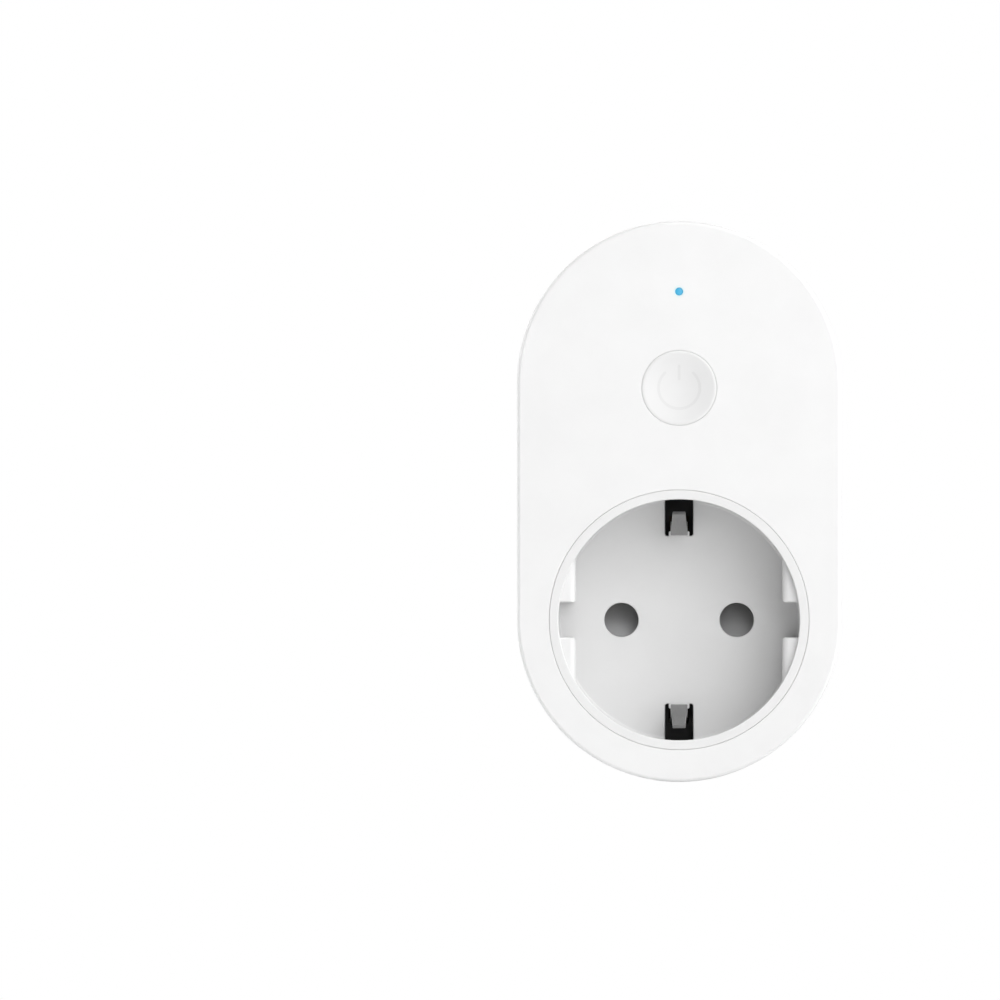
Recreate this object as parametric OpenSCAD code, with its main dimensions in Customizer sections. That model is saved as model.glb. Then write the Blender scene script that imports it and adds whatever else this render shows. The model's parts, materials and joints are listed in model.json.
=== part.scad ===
// Smart plug: a wall adapter with an earthed plug behind and a shuttered socket in front.
// Every part is drawn lying on its back: x runs across, y runs up and z runs from the plug's
// face at z = 0 towards the front. upright() then stands it up, so that +Z is up and the
// front faces -Y.

/* [Plug] */
// Distance between the two plug pins, centre to centre
pin_pitch = 19; // [18.8:0.1:19.2]
// Diameter of a plug pin
pin_d = 4.8; // [4.6:0.1:4.8]
// Length of a plug pin beyond the plug's face
pin_len = 19; // [18:0.5:19.5]
// Diameter of the round plug base
plug_d = 36.8; // [36.6:0.1:37]
// Length of the plug base behind the body
plug_len = 19.1; // [19:0.1:20]
// Distance across the two flat sides of the plug base
plug_flats = 32.4; // [32.2:0.1:33]
// Width of the guide rib on each flat side
rib_w = 4.3; // [3.8:0.1:5]

/* [Body] */
// Width of the body
body_w = 53.4; // [53:0.2:56]
// Distance from the plug's axis down to the socket's axis
axis_gap = 39; // [39:0.5:42]
// Depth of the body from its back to its front
body_depth = 35.8; // [35.7:0.1:38]
// Thickness of the housing's walls
wall = 2; // [1.8:0.1:2.2]
// Rounding of the front edge
front_edge_r = 0.6; // [0.4:0.1:1.2]
// Rounding of the back edge
back_edge_r = 0.4; // [0.2:0.1:0.8]

/* [Socket] */
// Diameter of the recess that takes a plug
recess_d = 39.7; // [39.2:0.1:40]
// Depth of the recess
recess_depth = 15; // [14.6:0.1:15]
// Outer diameter of the recess's rim
rim_d = 42.8; // [42.6:0.1:43]
// Distance across the two key flats in the recess
key_flats = 34; // [33.6:0.1:34.4]
// Height of the slot between the two halves of a key
key_slot = 5.8; // [5:0.2:6.4]
// Diameter of a pin hole
hole_d = 5.6; // [5.2:0.1:5.8]
// Width of an earth slot
earth_slot_w = 4.6; // [4.4:0.1:5]

/* [Controls] */
// Diameter of the power button
button_d = 12.4; // [12:0.1:13]
// Travel of the power button
button_travel = 0.5; // [0.3:0.1:0.5]
// Distance of the button below the plug's axis
button_drop = 0.8; // [0:0.1:1.2]
// Diameter of the light's lens
lens_d = 1.25; // [1:0.05:1.5]
// Distance of the light above the plug's axis
lens_rise = 15.1; // [15:0.1:15.6]

/* [Shutter] */
// Travel of the shutter that closes the pin holes
shutter_travel = 6; // [5.6:0.1:6]

/* [Hidden] */
$fn = 96;

over = 1;             // how far a cutting shape runs past the surface it cuts
fit_gap = 0.2;        // gap between a cover and the opening that it sits in
pin_x = pin_pitch / 2;
back_z = plug_len;
front_z = plug_len + body_depth;
body_r = body_w / 2;
cavity_r = body_r - wall;
face_z = front_z - wall;        // inner surface of the front face
socket_y = -axis_gap;

cover_t = 2.2;                  // thickness of the rear cover
cover_z = back_z + cover_t;     // inner surface of the rear cover

recess_r = recess_d / 2;
cup_r = rim_d / 2;
rim_gap = 0.05;                 // gap round the rim, seen as a fine ring on the front
floor_t = 1.8;
floor_top = front_z - recess_depth;
floor_under = floor_top - floor_t;
key_top = front_z - 1.2;        // top of the key halves, a little below the rim
flange_r = 23.2;
flange_t = 1.4;
earth_slot_in = 13.8;           // inner end of an earth slot, from the socket's axis
earth_tab_w = 3.4;              // tab at the inner end of an earth slot
earth_tab_l = 0.8;
slot_top = front_z - 3.9;       // top of the earth slot in the recess's wall

// Housing screws, one in each corner of the rear cover
boss_off = 15.9;                // offset of a screw from the plug's or the socket's axis
boss_r = 2.5;
low_boss_top = floor_under - 2;
screw_shank_r = 1.25;
screw_pilot_r = 1.3;
screw_head_r = 2.2;
screw_head_t = 1.2;
screw_recess_r = 2.4;
screw_recess_t = 1.4;

// Small screws inside
small_shank_r = 1.05;
small_pilot_r = 1.1;
small_hole_r = 1.2;
small_head_r = 2;
small_head_t = 1.4;

// Blank sunk panel on the back, below the plug
panel_w = 30;
panel_h = 20;
panel_t = 0.25;
panel_y = -40;

// Plug base
plug_r = plug_d / 2;
plug_face_t = 3;
plug_cavity_r = 15.2;
plug_flange_r = 19.7;
plug_flange_t = 1.2;
plug_edge_r = 0.6;
groove_w = 4.8;                 // earth grooves at the top and bottom of the plug base
groove_r = 16.6;                // distance of a groove's floor from the plug's axis
strip_w = 4;
strip_t = 0.8;
earth_hole_y = 10;              // hole for the earth pin of a French wall socket
earth_hole_r = 2.5;
shank_r = 2.7;                  // wider root of a plug pin, inside the plug's face
pin_gap = 0.05;
pin_flange_r = 3.5;
pin_flange_t = 1.2;
tail_r = 1.5;
retainer_t = 2;
retainer_z = plug_face_t + pin_flange_t;
retainer_screw = [4, -8.5];

// Strips that carry the current
bar_z = cover_z + 1.5;          // underside of the live and neutral bars
bar_t = 0.8;
bar_w = 4;
riser_y = -13;                  // where the bars rise to the circuit board
earth_bar_z = bar_z + 1.2;
bar_end_y = socket_y + 3.3;
tail_top = bar_z + bar_t + 0.3;

// Shutter chamber, carrier and contacts under the recess's floor
carrier_top = floor_under - 6.8;
carrier_t = 1.6;
carrier_z = carrier_top - carrier_t;
carrier_x = 14.8;
carrier_y = 12;
carrier_screw_x = 16.4;
boss_low_r = 2;
cup_boss_l = 3;                 // length of the two screw bosses under the recess's floor
contact_t = 0.6;
contact_gap = 4.6;              // gap between the two leaves of a contact, before a pin opens it
slider_z = carrier_top + 0.3;
slider_top = floor_under - 0.4;
slider_half = 3.4;              // half the slider's width in the direction that it slides
wedge_in = 6;
wedge_out = 13;
slider_bar_t = 2;
chamber_x = 13.3;               // inner face of the chamber's side walls
chamber_t = 1;
spring_y0 = -slider_half + slider_bar_t;
spring_y1 = 11;
spring_z = floor_under - 4;

// Circuit board
board_z = front_z - 12.8;       // underside of the main board
board_t = 1.6;
board_top = board_z + board_t;
board_r = cavity_r - 0.8;
board_low_y = -15;
post_x = 19.5;
post_y = -11.5;
post_r = 2.25;

// Button and switch
button_r = button_d / 2;
button_y = -button_drop;
button_gap = 0.08;
button_flange_r = 7.6;
button_flange_z = face_z - 1.25;
dish_r = button_r - 0.5;
dish_depth = 0.4;
switch_w = 6.2;
switch_top = board_top + 3.5;
plunger_r = 1.75;
plunger_top = switch_top + 1;
guide_r = 8;
guide_t = 1;
guide_z = face_z - 3;

// Stands a part up: y becomes +Z and z becomes -Y.
module upright() rotate([90, 0, 0]) children();

// Moves a part to the socket's axis.
module at_socket() translate([0, socket_y, 0]) children();

// Draws its children at the right and, mirrored, at the left.
module both_sides() {
  children();
  mirror([1, 0, 0]) children();
}

// Half of the cross-section of a disc with rounded edges: r wide and h high.
module edge_profile(r, h, low_r, high_r) {
  difference() {
    square([r, h]);
    if (high_r > 0) translate([r - high_r, h - high_r]) square(high_r + over);
    if (low_r > 0) translate([r - low_r, -over]) square([low_r + over, low_r + over]);
  }
  if (high_r > 0) translate([r - high_r, h - high_r]) circle(high_r);
  if (low_r > 0) translate([r - low_r, low_r]) circle(low_r);
}

// The body's outline, two half discs joined by straight sides, from z0 to z1.
module pill(r, z0, z1, low_r = 0, high_r = 0) {
  h = z1 - z0;
  translate([0, 0, z0]) {
    rotate_extrude(angle = 180) edge_profile(r, h, low_r, high_r);
    translate([0, socket_y, 0]) rotate([0, 0, 180])
      rotate_extrude(angle = 180) edge_profile(r, h, low_r, high_r);
    rotate([90, 0, 0]) linear_extrude(axis_gap) {
      edge_profile(r, h, low_r, high_r);
      mirror([1, 0]) edge_profile(r, h, low_r, high_r);
    }
  }
}

// A round bar along z, from z0 to z1.
module rod(r, z0, z1) translate([0, 0, z0]) cylinder(r = r, h = z1 - z0);

// A tube along z, from z0 to z1.
module tube(r_out, r_in, z0, z1) {
  difference() {
    rod(r_out, z0, z1);
    rod(r_in, z0 - over, z1 + over);
  }
}

// An upright plate with rounded corners, w wide, h high and from z0 to z1.
module rounded_plate(w, h, r, z0, z1) {
  block([-w / 2 + r, -h / 2, z0], [w / 2 - r, h / 2, z1]);
  block([-w / 2, -h / 2 + r, z0], [w / 2, h / 2 - r, z1]);
  for (sx = [-1, 1], sy = [-1, 1]) translate([sx * (w / 2 - r), sy * (h / 2 - r), 0]) rod(r, z0, z1);
}

// A box between two corners.
module block(a, b) translate(a) cube(b - a);

// Unit normal, to the left of the line from a to b.
function left_of(a, b) = let (d = b - a) [-d[1], d[0]] / norm(d);

// Offset of point i of a path by t to its left, mitred between the two lines that meet there.
function mitre(p, i, t) =
  let (
    n1 = left_of(p[max(i - 1, 0)], p[max(i, 1)]),
    n2 = left_of(p[min(i, len(p) - 2)], p[min(i + 1, len(p) - 1)]),
    m = (n1 + n2) / norm(n1 + n2)
  )
  p[i] + m * t / (m * n1);

// Outline of a strip of thickness t that follows a path.
function ribbon(p, t) = concat(
  [for (i = [0 : len(p) - 1]) mitre(p, i, t / 2)],
  [for (i = [len(p) - 1 : -1 : 0]) mitre(p, i, -t / 2)]
);

// A strip bent along a path of (y, z) points, w wide across x.
module bent_strip(path, t, w) {
  translate([-w / 2, 0, 0]) rotate([90, 0, 90]) linear_extrude(w) polygon(ribbon(path, t));
}

// Draws its children at the four housing screws, turned so that +z is into the housing.
module at_housing_screws() {
  for (sx = [-1, 1], c = [[0, 1], [socket_y, -1]])
    translate([sx * boss_off, c[0] + c[1] * boss_off, 0]) children();
}

// A screw with a cross recess in its head: the head lies below z0 and the shank runs up to z1.
module screw(head_r, head_t, shank, z0, z1) {
  slot_w = head_r * 0.28;
  slot_l = head_r * 1.2;
  slot_t = head_t * 0.55;
  difference() {
    union() {
      rod(head_r, z0 - head_t, z0);
      rod(shank, z0, z1);
    }
    for (a = [0, 90])
      rotate([0, 0, a])
        block([-slot_l / 2, -slot_w / 2, z0 - head_t - over],
              [slot_l / 2, slot_w / 2, z0 - head_t + slot_t]);
  }
}

// ---- Housing ----

module front_shell() {
  color("whitesmoke") upright() difference() {
    union() {
      difference() {
        pill(body_r, back_z, front_z, back_edge_r, front_edge_r);
        pill(cavity_r, back_z - over, face_z);
      }
      intersection() {
        pill(cavity_r + 0.5, cover_z, face_z + 0.5);
        for (sx = [-1, 1]) {
          translate([sx * boss_off, boss_off, 0]) rod(boss_r, cover_z, face_z + 0.5);
          translate([sx * boss_off, socket_y - boss_off, 0]) rod(boss_r, cover_z, low_boss_top);
        }
      }
      both_sides() translate([post_x, post_y, 0]) rod(post_r, board_top, face_z + 0.5);
      translate([0, button_y, 0]) tube(guide_r + guide_t, guide_r, guide_z, face_z + 0.5);
      translate([0, lens_rise, 0]) tube(2.3, 1.5, guide_z, face_z + 0.5);
    }
    at_socket() rod(cup_r + rim_gap, face_z - over, front_z + over);
    translate([0, button_y, 0]) rod(button_r + button_gap, face_z - over, front_z + over);
    translate([0, lens_rise, 0]) rod(lens_d / 2 + 0.05, face_z - over, front_z + over);
    at_housing_screws() rod(screw_pilot_r, cover_z - over, cover_z + 11);
    both_sides() translate([post_x, post_y, 0]) rod(small_pilot_r, board_top - over, face_z - 1.5);
    translate([0, button_y + guide_r, 0])
      block([-1.1, -over, guide_z - over], [1.1, guide_t + over, face_z]);
  }
}

module rear_cover() {
  color("whitesmoke") upright() difference() {
    union() {
      pill(cavity_r - fit_gap, back_z, cover_z, 0.3, 0);
      at_socket() for (sx = [-1, 1], sy = [-1, 1])
        translate([sx * 13.6, sy * 9.5, 0]) rod(1.8, cover_z - over, carrier_z - 0.1);
    }
    rod(plug_r + 0.1, back_z - over, cover_z + over);
    at_housing_screws() {
      rod(screw_recess_r, back_z - over, back_z + screw_recess_t);
      rod(screw_shank_r + 0.15, back_z, cover_z + over);
    }
    at_socket() both_sides() translate([pin_x, 0, 0]) rod(3.5, back_z + 1.1, cover_z + over);
    translate([0, panel_y, 0]) rounded_plate(panel_w, panel_h, 1.5, back_z - over, back_z + panel_t);
  }
}

// The plug base: a hollow round boss with flat sides, guide ribs and two earth grooves.
module plug_base() {
  color("whitesmoke") upright() difference() {
    union() {
      difference() {
        rotate_extrude() edge_profile(plug_r, cover_z, plug_edge_r, 0);
        both_sides() for (s = [-1, 1])
          scale([1, s, 1])
            block([plug_flats / 2, rib_w / 2, -over], [plug_r + over, plug_r, back_z]);
      }
      rod(plug_flange_r, cover_z, cover_z + plug_flange_t);
      both_sides() translate(retainer_screw) rod(2.4, plug_face_t - over, retainer_z);
    }
    difference() {
      rod(plug_cavity_r, plug_face_t, cover_z + plug_flange_t + over);
      both_sides() translate(retainer_screw) rod(2.4, plug_face_t - over, retainer_z);
    }
    for (s = [-1, 1]) scale([1, s, 1]) {
      block([-groove_w / 2, groove_r, -over], [groove_w / 2, plug_r + over, back_z]);
      block([-strip_w / 2 - 0.1, groove_r, back_z - over],
            [strip_w / 2 + 0.1, groove_r + strip_t + 0.3, cover_z + plug_flange_t + over]);
    }
    both_sides() {
      translate([pin_x, 0, 0]) rod(shank_r + pin_gap, -over, plug_face_t + over);
      translate(retainer_screw) rod(small_pilot_r - 0.1, 1.2, retainer_z + over);
    }
    translate([0, earth_hole_y, 0]) rod(earth_hole_r, -over, plug_face_t + over);
  }
}

// ---- Socket ----

// One half of a key, in the recess's right side above the pin line.
module key_half() {
  intersection() {
    rod(recess_r + 0.5, floor_top - over, key_top);
    block([key_flats / 2, key_slot / 2, floor_top - over], [cup_r, recess_r, key_top]);
  }
}

// Moves a part to the socket's axis and turns it so that its +y points down.
module at_shutter() at_socket() rotate([0, 0, 180]) children();

// The frame is clamped between the recess's floor and the carrier. The shutter slides inside it.
module shutter_frame() {
  z0 = carrier_top;
  z1 = floor_under;
  color("gainsboro") upright() at_shutter() difference() {
    union() {
      both_sides() {
        block([chamber_x, -slider_half - 1.3, z0], [chamber_x + chamber_t, spring_y1 + 1, z1]);
        block([0, -slider_half - 1.3, z0], [chamber_x + chamber_t, -slider_half - 0.1, z1]);
        translate([carrier_screw_x, 0, 0]) rod(boss_low_r, z0, z1 - cup_boss_l);
        block([chamber_x, -1, z0], [carrier_screw_x, 1, z1 - cup_boss_l]);
        block([0, spring_y1, z0], [chamber_x + chamber_t, spring_y1 + 1, z1]);
      }
    }
    both_sides() translate([carrier_screw_x, 0, 0]) rod(small_hole_r, z0 - over, z1);
  }
}

module socket_cup() {
  color("whitesmoke") upright() at_socket() difference() {
    union() {
      difference() {
        rod(cup_r, floor_under, front_z);
        rod(recess_r, floor_top, front_z + over);
      }
      rod(flange_r, face_z - flange_t, face_z);
      both_sides() {
        for (s = [-1, 1]) scale([1, s, 1]) key_half();
        translate([carrier_screw_x, 0, 0]) rod(boss_low_r, floor_under - cup_boss_l, floor_under + over);
      }
    }
    difference() {
      rod(recess_r, floor_top, front_z + over);
      both_sides() for (s = [-1, 1]) scale([1, s, 1]) key_half();
    }
    both_sides() {
      translate([pin_x, 0, 0]) rod(hole_d / 2, floor_under - over, floor_top + over);
      translate([carrier_screw_x, 0, 0])
        rod(small_pilot_r, floor_under - cup_boss_l - over, floor_under + 0.8);
    }
    for (s = [-1, 1]) scale([1, s, 1]) difference() {
      block([-earth_slot_w / 2, earth_slot_in, floor_under - over],
            [earth_slot_w / 2, cup_r + over, slot_top]);
      block([-earth_tab_w / 2, 0, floor_under - 2 * over],
            [earth_tab_w / 2, earth_slot_in + earth_tab_l, floor_top]);
    }
  }
}

// The carrier closes the shutter's chamber and holds the two contacts in open-sided boxes.
// Its two tongues lie under the earth slots, each with an opening that an earth clip passes through.
module contact_carrier() {
  box_in = 3.4;
  box_t = 1;
  box_z = cover_z + 0.7;
  tongue_x = 3.2;
  tongue_y = 21;
  clip_opening = [[-clip_stem_w / 2 - 0.2, 14.3], [clip_stem_w / 2 + 0.2, 17.1]];
  color("dimgray") upright() at_socket() difference() {
    union() {
      block([-carrier_x, -carrier_y, carrier_z], [carrier_x, carrier_y, carrier_top]);
      block([-tongue_x, -tongue_y, carrier_z], [tongue_x, tongue_y, carrier_top]);
      both_sides() {
        translate([carrier_screw_x, 0, 0]) rod(2.4, carrier_z, carrier_top);
        translate([pin_x, 0, 0]) difference() {
          block([-box_in - box_t, -box_in - box_t, box_z], [box_in + box_t, 4.4, carrier_z + 0.5]);
          block([-box_in, -box_in, box_z - over], [box_in, 4.4 + over, carrier_z]);
        }
      }
    }
    both_sides() {
      translate([pin_x, 0, 0]) rod(hole_d / 2, carrier_z - over, carrier_top + over);
      translate([carrier_screw_x, 0, 0]) rod(small_hole_r, carrier_z - over, carrier_top + over);
    }
    for (s = [-1, 1]) scale([1, s, 1])
      block([clip_opening[0][0], clip_opening[0][1], carrier_z - over],
            [clip_opening[1][0], clip_opening[1][1], carrier_top + over]);
  }
}

// The shutter: two wedges joined by a bar. A pair of pins pushes on both slopes and slides it down.
module shutter_slider() {
  slope_low = slider_z + 0.7;
  slope_high_y = slider_half - 1;
  color("gray") upright() at_shutter() {
    both_sides() translate([wedge_in, 0, 0]) rotate([90, 0, 90])
      linear_extrude(wedge_out - wedge_in) polygon([
        [-slider_half, slider_z],
        [slider_half, slider_z],
        [slider_half, slider_top],
        [slope_high_y, slider_top],
        [-slider_half, slope_low],
      ]);
    block([-wedge_in, -slider_half, slider_z], [wedge_in, spring_y0, slider_top - 1]);
    translate([0, spring_y0 - 0.5, spring_z]) rotate([-90, 0, 0]) cylinder(r = 1, h = 2.5);
  }
}

// A coil spring swept as one closed tube along a helix.
module shutter_spring() {
  turns = 6;
  per_turn = 16;
  sides = 6;
  wire_r = 0.25;
  coil_r = 1.7;
  y0 = spring_y0 + wire_r + 0.05;
  y1 = spring_y1 - wire_r - 0.05;
  n = turns * per_turn;
  ring = [for (k = [0 : sides - 1]) [cos(360 * k / sides), sin(360 * k / sides)] * wire_r];
  points = [
    for (i = [0 : n], p = ring)
      let (a = 360 * i / per_turn, y = y0 + (y1 - y0) * i / n)
      [(coil_r + p[0]) * cos(a), y + p[1], spring_z + (coil_r + p[0]) * sin(a)]
  ];
  sides_faces = [
    for (i = [0 : n - 1], k = [0 : sides - 1])
      let (a = i * sides + k, b = i * sides + (k + 1) % sides)
      each [[a, b, a + sides], [b, b + sides, a + sides]]
  ];
  start = [for (k = [sides - 1 : -1 : 0]) k];
  end = [for (k = [0 : sides - 1]) n * sides + k];
  color("silver") upright() at_shutter()
    polyhedron(points = points, faces = concat(sides_faces, [start, end]));
}

// A contact's two leaves grip a pin; its foot lies on the end of a bar.
module contact(x) {
  leaf_low = -2.8;
  back_y = 3.3;
  leaf_x = contact_gap / 2;
  foot_z = bar_z + bar_t;
  translate([x, 0, 0]) {
    translate([0, 0, foot_z]) linear_extrude(carrier_z - 0.2 - foot_z) difference() {
      translate([-leaf_x - contact_t, leaf_low])
        square([contact_gap + 2 * contact_t, back_y + contact_t - leaf_low]);
      translate([-leaf_x, leaf_low - over]) square([contact_gap, back_y - leaf_low + over]);
    }
    block([-bar_w / 2, back_y, foot_z], [bar_w / 2, back_y + 5, foot_z + contact_t]);
  }
}

module live_contact() color("goldenrod") upright() at_socket() contact(-pin_x);
module neutral_contact() color("goldenrod") upright() at_socket() contact(pin_x);

module carrier_screws() {
  color("silver") upright() at_socket() both_sides() translate([carrier_screw_x, 0, 0])
    screw(small_head_r, small_head_t, small_shank_r, carrier_z, floor_under + 0.4);
}

// An earth clip: a sprung strip that leans into the recess at its nose.
// Its path is given as (distance from the socket's axis, height) points.
clip_root = [14.65, earth_bar_z + bar_t + 0.2];
clip_path = [
  clip_root,
  [15.9, clip_root[1] + 8.3],
  [15.9, floor_top + 1],
  [14.25, front_z - 9.5],
  [17.6, front_z - 4.6],
];
clip_t = 0.6;
clip_stem_w = 2.8;
clip_nose_w = 2.8;
clip_tip_w = 2.1;

module earth_clip() {
  nose_z = clip_path[3][1];
  tip_z = clip_path[4][1];
  intersection() {
    bent_strip(clip_path, clip_t, clip_stem_w + over);
    rotate([90, 0, 0]) translate([0, 0, -recess_r]) linear_extrude(recess_r) polygon([
      [-clip_stem_w / 2, earth_bar_z],
      [clip_stem_w / 2, earth_bar_z],
      [clip_stem_w / 2, nose_z - 2],
      [clip_nose_w / 2, nose_z],
      [clip_tip_w / 2, tip_z],
      [clip_tip_w / 2, front_z],
      [-clip_tip_w / 2, front_z],
      [-clip_tip_w / 2, tip_z],
      [-clip_nose_w / 2, nose_z],
      [-clip_stem_w / 2, nose_z - 2],
    ]);
  }
}

module earth_clip_upper() color("darkgray") upright() at_socket() earth_clip();
module earth_clip_lower() color("darkgray") upright() at_socket() mirror([0, 1, 0]) earth_clip();

// ---- Plug ----

// A plug pin: a round-ended pin, its wider root and flange, and a tail that takes a bar.
module plug_pin(x) {
  r = pin_d / 2;
  color("silver") upright() translate([x, 0, 0]) {
    translate([0, 0, -pin_len + r]) sphere(r);
    rod(r, -pin_len + r, over);
    rod(shank_r, 0, plug_face_t);
    rod(pin_flange_r, plug_face_t, retainer_z);
    rod(tail_r, retainer_z, tail_top);
  }
}

module live_plug_pin() plug_pin(-pin_x);
module neutral_plug_pin() plug_pin(pin_x);

// The retainer clamps the flanges of both pins against the plug's face.
module pin_retainer() {
  color("dimgray") upright() difference() {
    union() {
      block([-13.4, -3.9, retainer_z], [13.4, 3.9, retainer_z + retainer_t]);
      block([-6.8, -11.2, retainer_z], [6.8, 0, retainer_z + retainer_t]);
    }
    both_sides() {
      translate([pin_x, 0, 0]) rod(tail_r + 0.1, retainer_z - over, retainer_z + retainer_t + over);
      translate(retainer_screw) rod(small_hole_r, retainer_z - over, retainer_z + retainer_t + over);
    }
  }
}

module retainer_screws() {
  z = retainer_z + retainer_t;
  color("silver") upright() both_sides() translate([retainer_screw[0], retainer_screw[1], 2 * z])
    mirror([0, 0, 1]) screw(small_head_r, small_head_t, small_pilot_r - 0.15, z, 2 * z - 1.8);
}

// An earth strip lies in its groove and turns in under the earth bar.
module plug_earth_strip() {
  y = groove_r + 0.1 + strip_t / 2;
  z = earth_bar_z - strip_t / 2;
  bent_strip([[y, 0.6], [y, z], [12.5, z]], strip_t, strip_w);
}

module plug_earth_strip_upper() color("silver") upright() plug_earth_strip();
module plug_earth_strip_lower() color("silver") upright() mirror([0, 1, 0]) plug_earth_strip();

// The sleeve behind the plug's earth hole grips the earth pin of a French wall socket.
module earth_pin_sleeve() {
  r_in = earth_hole_r;
  r_out = r_in + 0.6;
  end_z = 18;
  color("goldenrod") upright() translate([0, earth_hole_y, 0]) {
    tube(r_out, r_in, plug_face_t + 0.1, end_z - over);
    rod(r_out, end_z - over, end_z);
    rod(tail_r, end_z, earth_bar_z + bar_t + 0.3);
  }
}

// ---- Bars ----

// The earth bar joins the plug's strips and sleeve to the upstands that carry the socket's clips.
module earth_bar() {
  color("goldenrod") upright() difference() {
    union() {
      block([-bar_w / 2, socket_y - 16.2, earth_bar_z], [bar_w / 2, 17.8, earth_bar_z + bar_t]);
      at_socket() for (s = [-1, 1]) scale([1, s, 1])
        block([-1.6, 13.4, earth_bar_z], [1.6, 14.2, earth_bar_z + bar_t + 2.7]);
    }
    translate([0, earth_hole_y, 0]) rod(tail_r + 0.05, earth_bar_z - over, earth_bar_z + bar_t + over);
  }
}

// A flat bar from y0 up to y1, pierced for a pin's tail if it has one, with a riser at riser_at.
module flat_bar(x, y0, y1, riser_at, tail) {
  color("goldenrod") upright() translate([x, 0, 0]) difference() {
    union() {
      block([-bar_w / 2, y0, bar_z], [bar_w / 2, y1, bar_z + bar_t]);
      block([-bar_w / 2, riser_at - bar_t / 2, bar_z], [bar_w / 2, riser_at + bar_t / 2, board_top + 0.4]);
    }
    if (tail) rod(tail_r + 0.05, bar_z - over, bar_z + bar_t + over);
  }
}

module live_bar_in() flat_bar(-pin_x, -2.5, 11.4, 11, true);
module live_bar_out() flat_bar(-pin_x, bar_end_y, riser_y + bar_t / 2, riser_y, false);
module neutral_bar() flat_bar(pin_x, bar_end_y, 2.5, riser_y, true);

// ---- Controls ----

module power_button() {
  dish_sphere = (pow(dish_r, 2) + pow(dish_depth, 2)) / (2 * dish_depth);
  mark_r = 3.4;
  mark_w = 0.5;
  mark_z = front_z - dish_depth - 0.12;
  mark_gap = 86;                // angle left open at the top of the mark
  mark_bar = [1.25, 3.85];      // lower and upper ends of the upright stroke
  color("whitesmoke") upright() translate([0, button_y, 0]) difference() {
    union() {
      translate([0, 0, button_flange_z]) rotate_extrude()
        edge_profile(button_r, front_z - button_flange_z, 0, 0.3);
      rod(button_flange_r, button_flange_z, face_z - 0.05);
      block([-0.9, 0, button_flange_z], [0.9, guide_r + 0.8, face_z - 0.05]);
      rod(2, plunger_top + 0.05, button_flange_z);
    }
    translate([0, 0, front_z - dish_depth + dish_sphere]) sphere(dish_sphere, $fn = 360);
    rotate([0, 0, 90 + mark_gap / 2]) rotate_extrude(angle = 360 - mark_gap)
      translate([mark_r - mark_w / 2, mark_z]) square([mark_w, over]);
    block([-mark_w / 2, mark_bar[0], mark_z], [mark_w / 2, mark_bar[1], mark_z + over]);
  }
}

module switch_plunger() {
  color("black") upright() translate([0, button_y, 0]) rod(plunger_r, switch_top - 0.9, plunger_top);
}

module tact_switch() {
  h = switch_w / 2;
  leg_w = 0.7;
  color("dimgray") upright() translate([0, button_y, 0]) difference() {
    union() {
      block([-h, -h, board_top], [h, h, switch_top]);
      for (sx = [-1, 1], sy = [-1, 1])
        translate([sx * (h + 0.4), sy * 2.25, board_top + 0.15]) cube([1.2, leg_w, 0.3], center = true);
    }
    rod(plunger_r + 0.1, switch_top - 1.9, switch_top + over);
  }
}

module led_lens() {
  color("deepskyblue") upright() translate([0, lens_rise, 0]) {
    rod(1.4, board_top + 1.5, face_z - 0.1);
    rod(lens_d / 2, face_z - 0.1, front_z);
  }
}

module status_led() {
  color("ivory") upright() translate([0, lens_rise, 0]) {
    block([-1, -0.65, board_top], [1, 0.65, board_top + 0.5]);
    block([-0.6, -0.6, board_top + 0.5], [0.6, 0.6, board_top + 1.1]);
  }
}

// ---- Circuit board and what is on it ----

module main_board() {
  color("darkgreen") upright() difference() {
    intersection() {
      pill(board_r, board_z, board_top);
      block([-body_w, board_low_y, 0], [body_w, body_w, front_z]);
    }
    both_sides() {
      translate([boss_off, boss_off, 0]) rod(boss_r + 0.4, 0, front_z);
      translate([post_x, post_y, 0]) rod(small_hole_r, 0, front_z);
      translate([pin_x, riser_y, 0]) block([-2.1, -0.5, 0], [2.1, 0.5, front_z]);
    }
    translate([-pin_x, 11, 0]) block([-2.1, -0.5, 0], [2.1, 0.5, front_z]);
  }
}

module board_screws() {
  color("silver") upright() both_sides() translate([post_x, post_y, 0])
    screw(small_head_r, small_head_t, small_shank_r, board_z, board_top + 6);
}

module wifi_board() {
  color("navy") upright() block([8.5, -7, board_top], [20.5, 9, board_top + 0.8]);
}

// A pressed lid over the radio, open underneath.
module wifi_shield() {
  lid_t = 0.25;
  z0 = board_top + 0.8;
  z1 = board_top + 3;
  color("silver") upright() difference() {
    block([9.3, -1, z0], [19.7, 8.4, z1]);
    block([9.3 + lid_t, -1 + lid_t, z0 - over], [19.7 - lid_t, 8.4 - lid_t, z1 - lid_t]);
  }
}

// A closed case standing on a slightly wider base, which is against the board.
module cased(low, high, case_h, base_t, step) {
  block([low[0], low[1], board_z - base_t], [high[0], high[1], board_z]);
  block([low[0] + step, low[1] + step, board_z - case_h],
        [high[0] - step, high[1] - step, board_z - base_t]);
}

module relay() color("royalblue") upright() cased([-22.2, -9], [-12, 9.4], 15.3, 1.4, 0.25);

// Two cans, each with a crimped groove near its foot.
module bulk_capacitors() {
  can_r = 5;
  can_l = 16;
  groove_z = can_l - 2.6;
  color("midnightblue") upright() for (y = [-3.4, 7.2])
    translate([17.2, y, board_z - can_l]) rotate_extrude() difference() {
      edge_profile(can_r, can_l, 0.6, 0.6);
      translate([can_r, groove_z]) circle(0.4);
    }
}

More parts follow.
